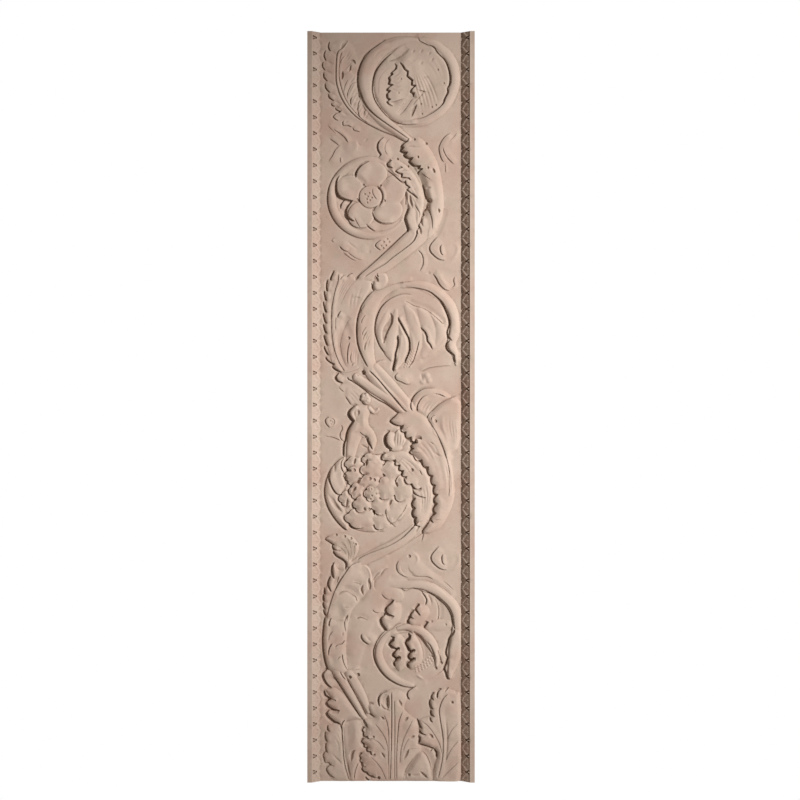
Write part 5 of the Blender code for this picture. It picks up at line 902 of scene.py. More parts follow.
def inner_leaf_four(r):
    # the ribbed bud in the fork
    blob(r, at(1.3, 341), 6, 9.5, 12, 0.36, foot=0.25)
    blob(r, at(8.5, 343.5), 6.5, 9.5, -12, 0.42, foot=0.2)
    blob(r, at(5, 335), 6.5, 4.5, 0, 0.38, foot=0.2)
    edge(r, line(-0.5, 351.5, -3.2, -4, -1, -5, 1.5, -5, 4.7, -4.3), 0.23, 8, (0.26, 0.4, 0.4, 0.4, 0.2),
        4, fade=2)
    fan(r, line(5, 351, -2, -9, 2, -9), line(11, 349, 1, -7, -3, -8), 4, 1.8, 0.11)
    edge(r, line(-1, 333.5, 1, -2.5, 2.5, -3.5), 0.07, 4, 0.29, 2.4, fade=1.5)
    # the lower leaf: lobes that turn over the flower
    patch(r, line(-8, 329, 9, 2, 11, 0, 9, -4, 9, -8, 8, -11, 4, -14, 0, -15, -3, -11, -7, -14, -6, 4,
        -4, 10, 0, 14, -2, 12, -7, 5, -2, 7, -5, 7, -2, 7, -12, 3), 0.36, 5, 0.14)
    edge(r, line(-5, 329, -3.7, -2.5, 0.2, -4, 6.5, -1, 6, 0.5), 0.18, 7, (0.33, 0.4, 0.33, 0.2), 3.4,
        fade=2)
    edge(r, jagged(line(5, 323, 4, -5, 4, -6, 3, -6), 3, 3.6), 0.12, 9, 0.4, 3.4, fade=1.5, smooth=False)
    edge(r, jagged(line(13, 305, 5, -4, 6, -4, 6, -2), 2, 3), 0.12, 9, 0.36, 3.2, fade=2, smooth=False)
    edge(r, line(21.5, 294, 2.5, -5, 5, -3, 6, -1.5), 0.09, 6, 0.24, 2.4, fade=2)
    edge(r, jagged(line(25, 284, 0, -10, 1, -9, 3.5, -9), 3, 3.2), 0.14, 10, 0.36, 3.2, fade=2,
        smooth=False)
    drill(r, at(21, 312), 1.6, 0.22)
    edge(r, line(28.5, 312.5, 1.5, -2.5, 1.5, -3), 0.05, 4, 0.13, 1.7, fade=1.5)
    fan(r, line(9, 326, 12, -8, 8, -10), line(2, 326, 10, -8, 11, -14), 3, 1.8, 0.07)
    fan(r, line(37, 302, 2, -12, -2, -14), line(28, 292, 3, -10, -1, -14), 4, 1.8, 0.08)


def volute_four(r):
    # the leaf that cups the flower
    patch(r, line(-47, 325, -7, -5, -7, -9, -4, -11, -1, -13, 3, -12, 6, -10, 7, -8, 6, -5, 2, 12, -4, 13,
        1, 30), 0.26, 5, 0.12)
    each(edge, r,
        (line(-46.5, 325.5, -7, -4.5, -6.5, -7.5, -4, -9, -2.2, -10, 0.5, -10.5, 3.7, -10.7, 6, -9.8,
            6, -7, 6.5, -5), 0.09, 8, (0.13, 0.16, 0.2, 0.24, 0.26, 0.29), 2.8),
        (line(-60.5, 311.5, -1.2, -6.5, 1.7, -7, 3.3, -6.5, 4.2, -4, 4.5, -0.2), 0.14, 8,
            (0.2, 0.29, 0.33, 0.2), 2.8),
        (line(-47.3, 324, -2.4, -5, 0.7, -6, 3, -5.5), 0.11, 8, 0.2, 2.2))
    crease(r, line(-57, 319, 0.3, -5, -0.3, -5), 2.4, 0.16)
    fan(r, line(-64, 290, 5, -11, 8, -9), line(-60, 286, 6, -10, 6, -8), 4, 2, 0.12)
    # the flower, full of ruffled petals
    patch(r, line(-46, 308, 8, 13, 13, 6, 16, -1, 15, -10, 12, -12, 4, -14, -5, -16, -10, -14, -14, -9,
        -18, 0, -16, 6, -7, 15, -2, 13), 0.3, 9, 0.12)
    # outer petals first, then those that lie over them, each ruffled
    for place, across, up, turn, rise in (
            (at(-38, 319), 9, 6.5, 20, 0.4), (at(-20.5, 322), 9, 7, -10, 0.42),
            (at(1, 312), 11, 10, -30, 0.44), (at(12, 294), 11, 14, -15, 0.46),
            (at(3, 270), 10, 12, -35, 0.4), (at(-10, 262), 10, 10, -10, 0.44),
            (at(-31, 263.5), 16, 10, -6, 0.5), (at(-43.5, 283.5), 9, 8, 0, 0.46),
            (at(-36, 306), 11, 10, 0, 0.48), (at(-19, 312), 12, 10, 0, 0.48),
            (at(-10, 276), 11, 9, -20, 0.5), (at(-5, 294), 10.5, 12, -10, 0.54),
            (at(-22, 300), 11.5, 8, 10, 0.55), (at(-33.5, 291), 9, 8.5, 0, 0.58),
            (at(-28.5, 278), 10, 8.5, 10, 0.59)):
        petal(r, place, across, up, turn, rise)
    for spot in line(-37, 312, 15.7, -8.5, 4.5, -1.3, -9.9, -29.2, 4.7, -0.3, 4.5, -2.2, -24.5, 41):
        drill(r, spot, 1.5, 0.24)
    edge(r, line(-42.5, 257.5, 5.5, -4, 7, -2.5, 11, -1, 14, 0.5), 0.05, 6, (0.13, 0.13, 0.07, 0.04), 1.8)
    for gap in (
            line(-36, 323.7, -1.7, -6), line(-23.9, 322.8, -1.7, -6.8), line(-46, 309, 1.2, -13.7),
            line(-43.7, 283.2, -1.7, -8.6), line(0.2, 281.5, -2.6, -5.1), line(-35, 295.3, -4.4, -5.3),
            line(-31.2, 304.5, -2.2, -5.8), line(4.5, 300.5, 1.7, -5.2)):
        nick(r, gap, 3, 0.38)
    # its whorled heart, and the far petals
    petal(r, at(-19, 288.5), 8.5, 8, 0, 0.63)
    for spot in line(-20, 293, 5, -4.7, -4.5, -1.8, -1.2, -3.5):
        drill(r, spot, 1, 0.14)
    edge(r, line(-5, 274, 0, -6, 2.5, -6.5, 4.5, -4, 3, -3), 0.07, 6, 0.11, 2)
    edge(r, line(16.3, 278, -2.8, -6, -4, -5.7, -4, -4), 0.07, 7, 0.08, 2)


def stem_four(r):
    # the stem that runs down from both leaves
    stem(r, line(-39, 216, 28, 14, 14, 7, 12, 8, 9, 8, 8, 10), (10, 11, 11, 11, 11, 10, 8), 0.34,
        foot=0.16)
    edge(r, line(28.5, 261, -13.5, -14, -8, -6, -9, -5, -10, -4, -12, -4.5, -10, -5.5), 0.07, 6,
        (0.33, 0.26, 0.2, 0.13, 0.11, 0.16, 0.2), 2.8)
    edge(r, line(32.5, 249, -5.5, -4, -7, -4.5, -7, -5.5, -9, -5, -9, -4), -0.06, 6,
        (0.16, 0.11, 0.07, 0.07, 0.09), 2)
    crease(r, line(29, 259, -2, -5, -3, -6), 1.8, 0.19)
    edge(r, line(33, 249, -1, -4.5, -1.5, -4.5), 0.05, 4, 0.09, 1.7)


def fan_leaf(r):
    # the leaf that spreads like a fan, and the bird over the last ring
    patch(r, line(-65.5, 243, 5.5, 4, 8, 1.5, 8, -1, 7, -4, 4.5, -7.5, -1.5, -8, -5, -8, -5, -7, -1.5, 6,
        -7.5, 6, -5, 6, 0.5, 6), 0.3, 4, 0.12)
    edge(r, line(-62, 246, -3.7, -3, 3.7, -2.7, 4.7, -3), 0.11, 6, (0.07, 0.2, 0.26), 2, fade=2)
    edge(r, line(-57.3, 237.5, -1.2, -2.2, 2.5, -2.7, 5.5, -0.9), 0.11, 5, (0.33, 0.33, 0.13), 2.4,
        fade=1.5)
    edge(r, line(-58, 231.3, 3.5, -4.8, 5.5, -2.8, 3.7, -3.4, 1, -3.3, -1.2, -5), 0.14, 7,
        (0.26, 0.26, 0.33, 0.33), 2.6, fade=2)
    for vein in (
            line(-43.7, 220, 0.4, 7, -2.7, 7.5, -4.5, 5.5), line(-42, 221, 1, 9, -1, 8, -2.5, 6),
            line(-40, 220, 2.5, 9, 0, 7, -1.5, 5), line(-45, 226, -4, 6, -5, 4)):
        edge(r, vein, -0.05, 4, 0.13, 1.6)
    for spot in line(-55, 247, 8.5, -1.5, 6.3, -2.1, 4.4, -5.9):
        drill(r, spot, 1.2, 0.22)
    patch(r, line(8, 223, 7, 6, 8, 1, 5, -6, 8, -8, 11, -9, 11, -8, 7, -9, -4, -7, -11, 9, -11, 8, -16, 1,
        -12, 3.5, -5, 7.5, 0, 7), 0.17, 9, 0.03)
    edge(r, line(8, 221.5, -2.3, -5.5, 1.3, -6, 4.5, -3.5, 5.5, -2.5), 0.07, 8, 0.09, 2.4)
    drill(r, at(18.3, 225.5), 1.5, 0.22)
    crease(r, line(20, 228.5, 5, -1.5, 2, -5, -3, -5), 3, -0.12)
    fan(r, line(9.5, 218, 1.5, -7, 6, -6), line(16, 218, 2, -7, 7, -6), 4, 2.2, 0.11)
    edge(r, line(21, 206, 8, -0.5, 8, -0.5, 6, -3), 0.06, 7, (0.13, 0.11, 0.07), 1.8)
    fan(r, line(45, 198, 6, -5, 8, -8.5), line(50.5, 202, 6.5, -5.5, 7.5, -7), 5, 1.8, 0.14)


def leaf_five(r):
    # the broad leaf at the left of the last volute: a toothed side, a rib, and folded lobes
    patch(r, line(-43, 215, 8, 5, 9, -2, 6, -9, 0, -13, -6, -10, -7, -8, -6, -8, -3, -10, -2, -14, -1, -14,
        1, -14, 0, -8, -10, -1, -9, 4, -4, 13, -1, 16, 1, 15, 1, 13, -2, 12, 2, 10, 5, 13, 3, 13, 6, -6),
        0.34, 5, 0.14)
    for tooth in (line(-57, 219.5, -1.6, -6.5, 1.6, -10), line(-60.3, 205.5, -2.3, -7, 2.8, -8.5)):
        edge(r, tooth, 0.14, 6, 0.29, 2.6, fade=2)
    serrate(r, line(-66.3, 194.5, -1.4, -10.5, 0, -10, 1.4, -9), 4, 1.8)
    edge(r, line(-65.7, 165, -1.6, -12, -0.7, -12, 0.7, -10, 1.6, -9.5, 3.2, -10.5), 0.16, 8,
        (0.2, 0.24, 0.24, 0.26, 0.26), 2.4)
    edge(r, line(-30, 219.7, -6, -1, -5, -3.2, -5, -7, -5.5, -8.5, -5, -9.5, -3.5, -10, -3, -10.5,
        -1.5, -7), 0.11, 8, (0.07, 0.13, 0.11, 0.09, 0.09, 0.11), 2.8)
    fan(r, line(-53, 210, -3, -8, -4, -10), line(-48, 209, -4.5, -9, -5, -10), 3, 2, 0.12)
    edge(r, line(-52.5, 207, -0.5, -4, -1.5, -5), 0.05, 4, 0.07, 1.6)
    # the stem behind it, swelling softly from the ground
    stem(r, line(9, 203, -13, -7, -15, -14, -11, -19, -5, -23, -3, -26), (16, 26, 30, 28, 20, 12),
        (0.1, 0.17, 0.2, 0.2, 0.17, 0.1), foot=0)
    edge(r, line(-15, 191, -2.5, 5, 1.5, 6, 5, 5, 4, 5), 0.07, 8, (0.03, 0.1, 0.1, 0.03), 2.6)
    blob(r, at(0, 188), 13, 8, -15, 0.22)
    # lobes
    swell(r, at(-29, 186), 3.5, 8, -30, -0.14)
    swell(r, at(-26, 210), 5, 7, 25, -0.19)
    crease(r, line(-29, 218, 6, -5, 2.5, -7, -0.5, -7), 2.4, -0.12)
    cut(r, line(-22.4, 203, 0.1, -4, 0.8, -6.5), 4.2, 0.45)
    cut(r, line(-28.3, 196.7, -1.7, -4.2, 1.7, -5.5), 3.4, 0.38)
    edge(r, line(-38.5, 199.7, 4, -0.4, 4.5, -2), -0.07, 4, 0.13, 2, fade=2)
    each(edge, r,
        (line(-53.3, 187, 3.3, 3, 5, 0.7, 5, -2.7, 5, -3.5, 0.7, -4.5), -0.11, 7,
            (0.33, 0.2, 0.13, 0.2, 0.26), 2.4),
        (line(-48, 193, 6, 0.7, 5, -2, 3, -3.2), -0.06, 4, 0.08, 1.8),
        (line(-47.5, 174, 3.5, 1, 5, -1), -0.09, 6, (0.2, 0.13, 0.04), 2))
    each(swell, r,
        (at(-44, 209), 10, 9, 35, 0.16),
        (at(-49, 181), 9, 9, 0, 0.14),
        (at(-51, 170), 4, 6, 0, -0.14))
    edge(r, line(-16.7, 198, -1, 4.5, 2.4, 4.5, 4.3, 3.5), 0.07, 6, (0.03, 0.16, 0.13, 0.07), 2, fade=2)
    edge(r, line(-11, 205.5, 1.7, 4, 3.3, 3.2, 3.5, 0.8), 0.07, 6, (0.16, 0.13, 0.07), 1.8, fade=2)
    edge(r, line(-10, 188.5, 4, -4.5, 5, -2.3), 0.07, 6, 0.08, 1.8)
    edge(r, line(-19, 172.3, 3.3, -2.6, 4.2, -0.7), 0.06, 5, (0.07, 0.17, 0.07), 2, fade=2)
    edge(r, line(-35, 163, 3.5, 1.7, 4.5, -1.4, 4, -1.6), -0.07, 5, (0.33, 0.26, 0.16, 0.07), 2, fade=1.5)
    cut(r, line(-43.5, 167, -1.2, -3, -0.3, -4), 3, 0.24)
    edge(r, line(-42.5, 166, -3, -3.5, -0.8, -6.5, 1.3, -7), 0.07, 7, (0.26, 0.13, 0.07), 2.4)
    edge(r, line(-46, 160, -5, 1, -5.5, -0.7), -0.07, 4, 0.11, 1.8)
    edge(r, line(-59.7, 163.3, -1.6, -3.3, -0.7, -5), 0.11, 6, 0.29, 2.6, fade=1.5)
    edge(r, line(-58, 151, -3.5, -5, -1.2, -6), 0.07, 6, 0.09, 2)
    cut(r, line(-48, 150, -0.7, -2, -0.3, -2.5), 2.2, 0.14)
    edge(r, line(-46, 141.5, -3, -3.8, -4, -1, -3.5, -2.2), 0.07, 5, (0.13, 0.26, 0.13, 0.2), 1.9, fade=2)
    edge(r, line(-59, 138, -2.7, -5, -1, -7), 0.11, 6, (0.26, 0.26, 0.07), 2.2, fade=2)
    edge(r, line(-48.7, 128, 0.7, -6, 2, -6, 3, -5), 0.07, 6, (0.24, 0.2, 0.13, 0.07), 2)
    edge(r, line(-50, 125, -2.2, -1.3, -1.8, -1.7), 0.03, 3, 0.16, 1.6, fade=1.5)
    for lobe in line(-54, 152, 0, -22, 1, -14):
        swell(r, lobe, 6, 7, 0, 0.16)
    # a bud on the ground beside it
    swell(r, at(-21.5, 142.5), 7, 5.5, -20, 0.33)
    edge(r, line(-29, 148, -0.5, -3, 2.5, -4, 5, -4), 0.12, 5, (0.16, 0.26, 0.26, 0.16), 2.2, fade=2)
    crease(r, line(-26, 147, 3, -4, 4, -4), 1.6, 0.08)
    for spot in line(-39, 129, 4, -17):
        swell(r, spot, 4, 3, 0, 0.08)


def volute_five(r):
    # the rim, thick at the right
    band(r, line(59, 104, 6, 26, 2, 30, -3, 13, -9, 11.5, -13, 9, -13, 4, -15, -0.5, -14, -0.5),
        (4, 10, 14, 12, 10, 11, 11, 10, 9, 8, 5), (0.2, 0.34, 0.4, 0.4, 0.4, 0.4, 0.38, 0.34, 0.26, 0.16),
        foot=0.2, soft=0.95)
    edge(r, line(-2, 201.7, 11, 0.7, 12, -0.1, 12, -0.6, 10, -3.2), -0.07, 6, 0.05, 1.7)
    edge(r, line(10, 193.5, 4.5, -2.5, 6.5, 3, 6, -1.3, 6, -2.7, 6, -0.7, 7, -3.3, 7, -5.3, 6, -6.7, 3, -7,
        1.3, -8, 1.2, -7), 0.08, 8, (0.1, 0.05, 0.1, 0.11, 0.11, 0.14, 0.2, 0.26), 2)
    edge(r, line(64.5, 152.5, -1.5, -4.5, -3.5, -4.7, -1.2, -4.8, -1.8, -5.5, -0.5, -5, 2, -4.5), 0.16, 9,
        (0.26, 0.26, 0.33, 0.33, 0.33), 3.2, fade=2)
    edge(r, line(58, 124, -1.7, -6, -2, -5, 2, -5, 2.7, -6.5), 0.16, 7, (0.4, 0.4, 0.33, 0.26), 3.4,
        fade=2)
    edge(r, line(55, 113.5, -4.5, -4.2, -5.5, -3.6, -6, -2.7, -5, -1.5), -0.07, 7, (0.2, 0.13, 0.07, 0.03),
        2)
    # thin stems under the rim
    edge(r, line(30.5, 190.5, 3.8, -4.5, 2.2, -5, -2, -4.8), 0.07, 4, (0.13, 0.24, 0.33, 0.26), 2.2,
        fade=2)
    crease(r, line(36, 188, 3.5, -5.5, 1.5, -6.5), 2, 0.14)
    edge(r, line(43, 184.5, 3.5, -5.5, 1.8, -7, -0.3, -7.5, -1.7, -6.5, -0.8, -6), -0.09, 6,
        (0.07, 0.13, 0.2, 0.2, 0.24, 0.2), 2)
    # the lobed leaves that overlap the inner ring
    each(patch, r,
        (line(2, 181, 7, -2, 2, -8, -2, -9, -6, -7, -6, -4, -5, 6, -1, 7, 5, 5, 0, 6), 0.4, 9, 0.04),
        (line(29, 178, 7, -2, 3, -7, -5, -9, -9, -5, -7, 3, 0, 7, 4, 6), 0.4, 9, 0.04),
        (line(37, 160, 8, 2, 14, -1, 3, -7, -11, -4, -11, 1, -6, 2), 0.2, 7, 0.03))
    each(edge, r,
        (line(3.5, 181.5, -3, -3.5, -3.8, -3.3, -1.2, -4, 2.2, -2.7, 5.8, -2.3), 0.16, 7,
            (0.33, 0.46, 0.46, 0.46, 0.33), 5),
        (line(-5, 167.5, -4.2, -4.5, 0.9, -5, 3.3, -4.5, 1.3, -3), 0.16, 7, (0.33, 0.46, 0.46, 0.4), 5),
        (line(29.3, 177.5, -3.6, -4.5, 2, -3.7, 2.3, -3.6), 0.14, 7, (0.4, 0.46, 0.24, 0.13), 3.4),
        (line(24, 171.5, -3, -3.5, -0.7, -2.7, 2.7, -2), 0.09, 5, (0.4, 0.46, 0.33), 3.4),
        (line(20.5, 165, -2.5, -3.7, 1, -3.3, 5, -2.7), 0.14, 7, (0.4, 0.46, 0.4, 0.2), 4),
        fade=2)
    edge(r, line(38, 159.5, -2.5, -3.2, -2, -3.3), 0.11, 6, 0.46, 4.4, fade=1.5)
    for spot in line(41, 160, 14, -3):
        drill(r, spot, 1.1, 0.12)
    # the inner ring, and the leaves curled in it
    band(r, line(22, 96, -11.5, 3.5, -11.2, 7.5, -7.8, 10, -3.5, 10.5, 1.7, 9.5, 5.8, 8.5, 8.5, 6),
        (4, 7, 8, 8, 8, 7, 6, 5), (0.12, 0.22, 0.26, 0.28, 0.26, 0.22, 0.18), foot=0.18, soft=1)
    stem(r, line(7, 153, 9, 1.5, 10, -3, 9, -6.5, 7, -9, 4, -11, 0, -9), (4, 7, 10, 11, 10, 7, 3),
        (0.26, 0.34, 0.44, 0.46, 0.4, 0.2), foot=0.14)
    edge(r, line(-3.5, 152.5, -5, -4.2, -4.2, -5.8, -2.6, -5.5, -1.9, -7, 1.2, -8, 3.7, -7.7, 5.3, -7,
        7, -5.8, 8, -4.2, 8, -2.8, 7, -1.2), 0.09, 8, (0.1, 0.16, 0.26, 0.26, 0.24, 0.2, 0.17, 0.13), 2.4)
    edge(r, line(26, 95.3, -5.5, -3, -3.2, -3.3, -0.3, -3.7, 2, -3.8), 0.09, 6, (0.07, 0.24, 0.33, 0.33),
        2.6, fade=2)
    edge(r, line(11, 158.3, -5, -1.6, -4, -3), 0.06, 6, 0.11, 2)
    patch(r, line(0, 145, 8, 3, 7, -8, 2, -12, -2, -11, -6, -7, -5, 5, 2, 7, -3, 5, -3, 10), 0.34, 5, 0.12)
    patch(r, line(18, 148, 7, -1, 5, -8, 2.5, -11, -2.5, -10, -8, -6, -5, 3, 2, 9, -2, 10, -1.5, 5), 0.42,
        5, 0.12)
    for leaf_line, deep in (
            (line(-0.5, 145.5, 4, -0.8, -0.5, -3.4, -4, -4, 3, -2, 3.5, -2, 3.5, 1), 0.6),
            (line(9, 134, -4, -3.3, -2, -4.4, 2.5, -2.8, 4.5, 1.8), 0.6),
            (line(10, 125, -3.5, -2.7, -2.8, -3.6, 1, -3.7), 0.6),
            (line(17.5, 149, 2.8, -2.7, -1, -3.8, -4, -3.8, 4.7, -7.4, 4.5, 1), 0.7),
            (line(24.5, 132, -4.5, -3.3, -1.7, -3.7, 2, -2.5, 4.2, 1.8), 0.7),
            (line(24.5, 124, -3.5, -3.3, -3.7, -3, 2, -3.7), 0.6)):
        edge(r, leaf_line, 0.14, 7, (0.4 * deep, deep, deep, deep, 0.6 * deep), 3.4, fade=1.5,
            smooth=False)
    edge(r, line(6, 148.3, 5, 0.7, 6, 0), -0.05, 4, 0.11, 1.8)
    cut(r, line(23, 149.5, 5.5, -5, 4, -6.5, 1.8, -8, -0.8, -9), 6.5, 0.6)
    edge(r, line(36, 140.5, 3.7, -4, 2.8, -5.5, 1.8, -6.5, 0.2, -4.5), 0.05, 4, (0.07, 0.17, 0.2, 0.13),
        1.8)
    edge(r, line(47, 133, 1.3, -5, 2, -5.5, 0.7, -4.2), 0.07, 5, (0.11, 0.13, 0.2), 2)
    for reach in (21.5, 24, 26.5):
        for spot in arc(at(20, 136), reach, -78, -20)[::2]:
            swell(r, spot, 0.95, 0.95, 0, 0.11)
    for spot in line(50.5, 118.5, -5.5, -5.5, -37, -32.5):
        drill(r, spot, 1.5, 0.22)
    cut(r, line(17.5, 107, 5, -3.7, 4.5, -2.3, 6, -0.7), 3.6, 0.22)
    crease(r, line(25, 107, 4, -2.7, 4, -2.3), 2.4, -0.14)


def collar_five(r):
    # the last collar, over the strands of the root
    for spine in (
            line(-55, 111, 7, -11, 10, -16.5, 11, -19.5), line(-42, 108, 6, -10.5, 7, -12.5, 6.5, -15)):
        stem(r, spine, (9, 10, 8.5, 5), (0.36, 0.4, 0.4, 0.3), foot=0.14)
    swell(r, at(-47, 108), 19, 5, 0, 0.27)
    edge(r, line(-57.5, 106.5, 6.5, -9, 7, -11, 6.5, -10.5, 7.5, -12.5), 0.07, 5, 0.2, 2)
    edge(r, line(-51, 110.5, 2.5, -4.2, 3, -4.3), 0.07, 4, 0.24, 2, fade=2)
    edge(r, line(-44, 102.5, 5, -9, 5.3, -10, 4.7, -9, 4.5, -9), 0.07, 5, 0.26, 2.4)
    edge(r, line(-63, 112.5, -4.3, -4.2, 0.3, -4.8, 3, -5.5, 5, -4.7), 0.18, 8, (0.26, 0.4, 0.4, 0.4, 0.2),
        4.4, fade=2)
    drill(r, at(-33, 106.7), 1.7, 0.33)
    drill(r, at(-41.3, 104.7), 1.7, 0.33)
    edge(r, line(-38, 111, 3, 1.3, 4, 0.4), 0.05, 4, 0.11, 1.8, fade=2)


def foot_leaves(r):
    # the sheath at the left, ragged against the moulding
    patch(r, line(-66, 92, 9, 2, 10, -8, 9, -12, 8, -11, -8, -1.5, -7, -1.5, -5, -6, -6, 6, -6, 5, -2, 5,
        7, 2, -5, 4, -2, 3, 4, 3.5), 0.42, 6, 0.14)
    edge(r, line(-67, 91.5, 1.7, -5, 5.8, -3.8, -5, -3.4, 2.2, -4, 4.8, -3, 6, -0.6), 0.11, 7,
        (0.33, 0.46, 0.46, 0.46, 0.46, 0.4), 4.6, fade=2, smooth=False)
    edge(r, line(-61.5, 71.3, -2.2, -3.3, 3.2, -4.3, 4.5, -3.4, 5, -2.3, 0.7, -5.5), 0.11, 7,
        (0.33, 0.46, 0.4, 0.33, 0.4), 4.4, fade=2)
    edge(r, line(-59, 82.3, 3.7, -0.6, -0.7, -1.7), 0.05, 3, 0.24, 1.8, fade=1.5)
    # the left leaf: a side of small teeth, a rib, and a side of broad lobes
    patch(r, line(-63, 56, 8, 2, 6, -6, 4, -35, 3, -16, -15, 0, -7, 8, -1, 5, 5, 3.5, -6, 3.5, -1.5, 5,
        2.5, 6, -1, 12, 2, 7), 0.26, 5, 0.08)
    patch(r, line(-47, 58, 6, 3.5, 8, 0.5, 4, -7, -0.5, -11, 1.5, -10, -3, -5, 1, -10, -3, -8, -2, -10,
        -6, 0, -4, 17, -2, 19), 0.32, 7, 0.1)
    for tooth in (
            line(-63.3, 56.5, 0, -3.5, 2.3, -3.3), line(-65.7, 50, 0, -5, 2.4, -6),
            line(-64.7, 38.5, -0.6, -5, 2, -5.2)):
        edge(r, tooth, 0.12, 6, 0.22, 2.2, fade=2)
    edge(r, jagged(line(-65.5, 29.7, -1.2, -5.2, 1.7, -4.2, 3.5, -2, 4.5, -1.6), 3, 1.4), 0.08, 5,
        (0.18, 0.22, 0.18, 0.1), 2, fade=2, smooth=False)
    edge(r, line(-59.5, 16.7, -4.5, -3, 0.5, -3.7, 3, -3.7, 4, -2.3), 0.08, 5, (0.1, 0.2, 0.22, 0.2), 2.2,
        fade=2)
    edge(r, line(-46, 61.5, -3, -5, 0.3, -8.5, 0.7, -10, 0.5, -11, 1.5, -11, 2.5, -9, 1.5, -6), 0.09, 6,
        (0.4, 0.33, 0.22, 0.18, 0.16, 0.16), 2.2)
    crease(r, line(-44.5, 22, 1.5, -9, 2, -10), 1.8, 0.19)
    swell(r, at(-42, 49), 5, 12, 0, -0.19)
    fan(r, line(-57, 44, 4, -7, 0, -8), line(-54, 54, 4, -10, 1, -11), 3, 2, 0.09)
    crease(r, line(-60, 28, 6, -6, 6, -6), 2, 0.14)
    cut(r, line(-36.5, 31.3, -2.8, -3.3, -1, -7.5), 4, 0.38)
    edge(r, line(-32, 19.5, -2.7, -6, -1.6, -6.5, -0.4, -6), 0.07, 5, 0.11, 2)
    for lobe in line(-38, 52, 2, -14, 0, -19, -22, 25, 0, -19, 4, -16):
        swell(r, lobe, 5, 7, 0, 0.09)
    # the great leaf in the middle, its tip turned down over it
    patch(r, line(0, 92, -10, -4, -3, -8, -9, -2.5, -1, -6.5, 6, -7, -10, -3, 2, -11, -4, -9, 6, -7,
        -7.5, -7, 1.5, -10, -1, -4, 11, -8, 0, -4, 31, 0, 2, 10, 8, 11, 8, 8, -1, 10, -1, 9, -1, 11, -6, 5,
        -8, 8, 3, 11, -7, 7), 0.42, 8, 0.12)
    edge(r, line(-17, 76.7, -4.5, 0.8, -2.5, -2.8, 2.5, -3.7, 1.5, -3, 4, -3.3), 0.09, 6,
        (0.2, 0.26, 0.26, 0.26, 0.26), 2.4, fade=2)
    edge(r, line(-27, 64.5, 0.3, -3.5, 2.2, -3.3, 1.5, -4.4), 0.11, 6, 0.26, 2.4, fade=2)
    each(edge, r,
        (jagged(line(-26, 54, -0.5, -5, 2.5, -3, 4.5, -1.7), 3, 2), 0.11, 7, (0.34, 0.45, 0.3, 0.13), 3),
        (jagged(line(-26.5, 43, 0, -4, 3, -4, 3, -4, 4.5, -2.5), 4, 2.4), 0.11, 7,
            (0.26, 0.42, 0.36, 0.36, 0.36, 0.4), 3),
        (jagged(line(-28.5, 28.3, -1, -4.8, 1.5, -5, 3, -2.8), 3, 1.8), 0.1, 7, (0.26, 0.38, 0.36, 0.2),
            2.8),
        (jagged(line(-28.5, 15, 3, -4, 4.5, -3.3, 4, -2, 5.5, -0.7), 3, 1.8), 0.1, 7,
            (0.33, 0.38, 0.38, 0.2, 0.2), 2.8),
        fade=2, smooth=False)
    edge(r, line(-25.5, 4.7, 2.5, -2.7, 3, -2), 0.09, 4, 0.33, 3, fade=1.5)
    edge(r, line(-3, 90, -6, -2.5, -3, -5, 1, -7.5), 0.11, 5, (0.07, 0.2, 0.4, 0.4), 2.8, fade=2)
    swell(r, at(-7, 81), 3.5, 8, -8, -0.27)
    cut(r, line(-3, 85.5, -1, -6, 0.5, -7), 5, 0.52)
    edge(r, line(-10.5, 78.5, 4, -4.8, 6.5, -2.7), -0.09, 5, (0.26, 0.26, 0.2), 2.2)
    cut(r, line(7.7, 81.7, 1.3, -3, 1.7, -3.4), 3.2, 0.3)
    for rib, deep in (
            (line(0.7, 90, 0.3, -23, -0.5, -33, -0.8, -33), 0.18),
            (line(3.7, 82, 0.3, -30, 0, -25, 0, -26), 0.1),
            (line(11.7, 70, -3.4, -10, -1.3, -14, -1, -16, 0, -29), 0.13),
            (line(-7, 67, 3.7, -10, 1.3, -17, 0, -39), 0.08)):
        edge(r, rib, 0.05, 4, deep, 1.6)
    for vein in (
            line(-16, 58, 6, -7.5, 5, -9, 2, -11.5, 0, -14), line(-22, 26.5, 7, -6.5, 6, -8.5, 4.5, -10.5),
            line(-20, 44, 8, -5, 6, -8), line(22, 62, -5, -10, -4.3, -10, -2.7, -11, -1, -13),
            line(29.5, 29.5, -6.5, -6.5, -5.5, -7.5, -3.5, -7.5, -2, -7),
            line(19, 44.3, -4, -6.3, -3, -8)):
        edge(r, vein, 0.05, 5, 0.06, 1.6)
    for lobe, turn in zip(
            line(-17, 71, -2, -32, -1, -16, 11, 51, 29, -19, -3, -30), (40, 40, 40, 40, 0, -30, -30, -30)):
        swell(r, lobe, 7, 5, -turn, 0.14)
    for tail in (
            line(-10.3, 64.7, 3.3, -2.4), line(-9.7, 29, 3.2, -5.3), line(17, 64.3, -3.7, -3.8),
            line(17.7, 32.3, -4.7, -9.6), line(23.5, 45.5, -4.2, -1.8), line(-18.5, 45.7, 1.5, -2)):
        nick(r, tail, 3, 0.33)
    drill(r, at(-12.3, 3.7), 1.6, 0.3)
    edge(r, line(17.5, 32, 4.5, 1.3, 7, -1), -0.07, 5, 0.11, 1.9)
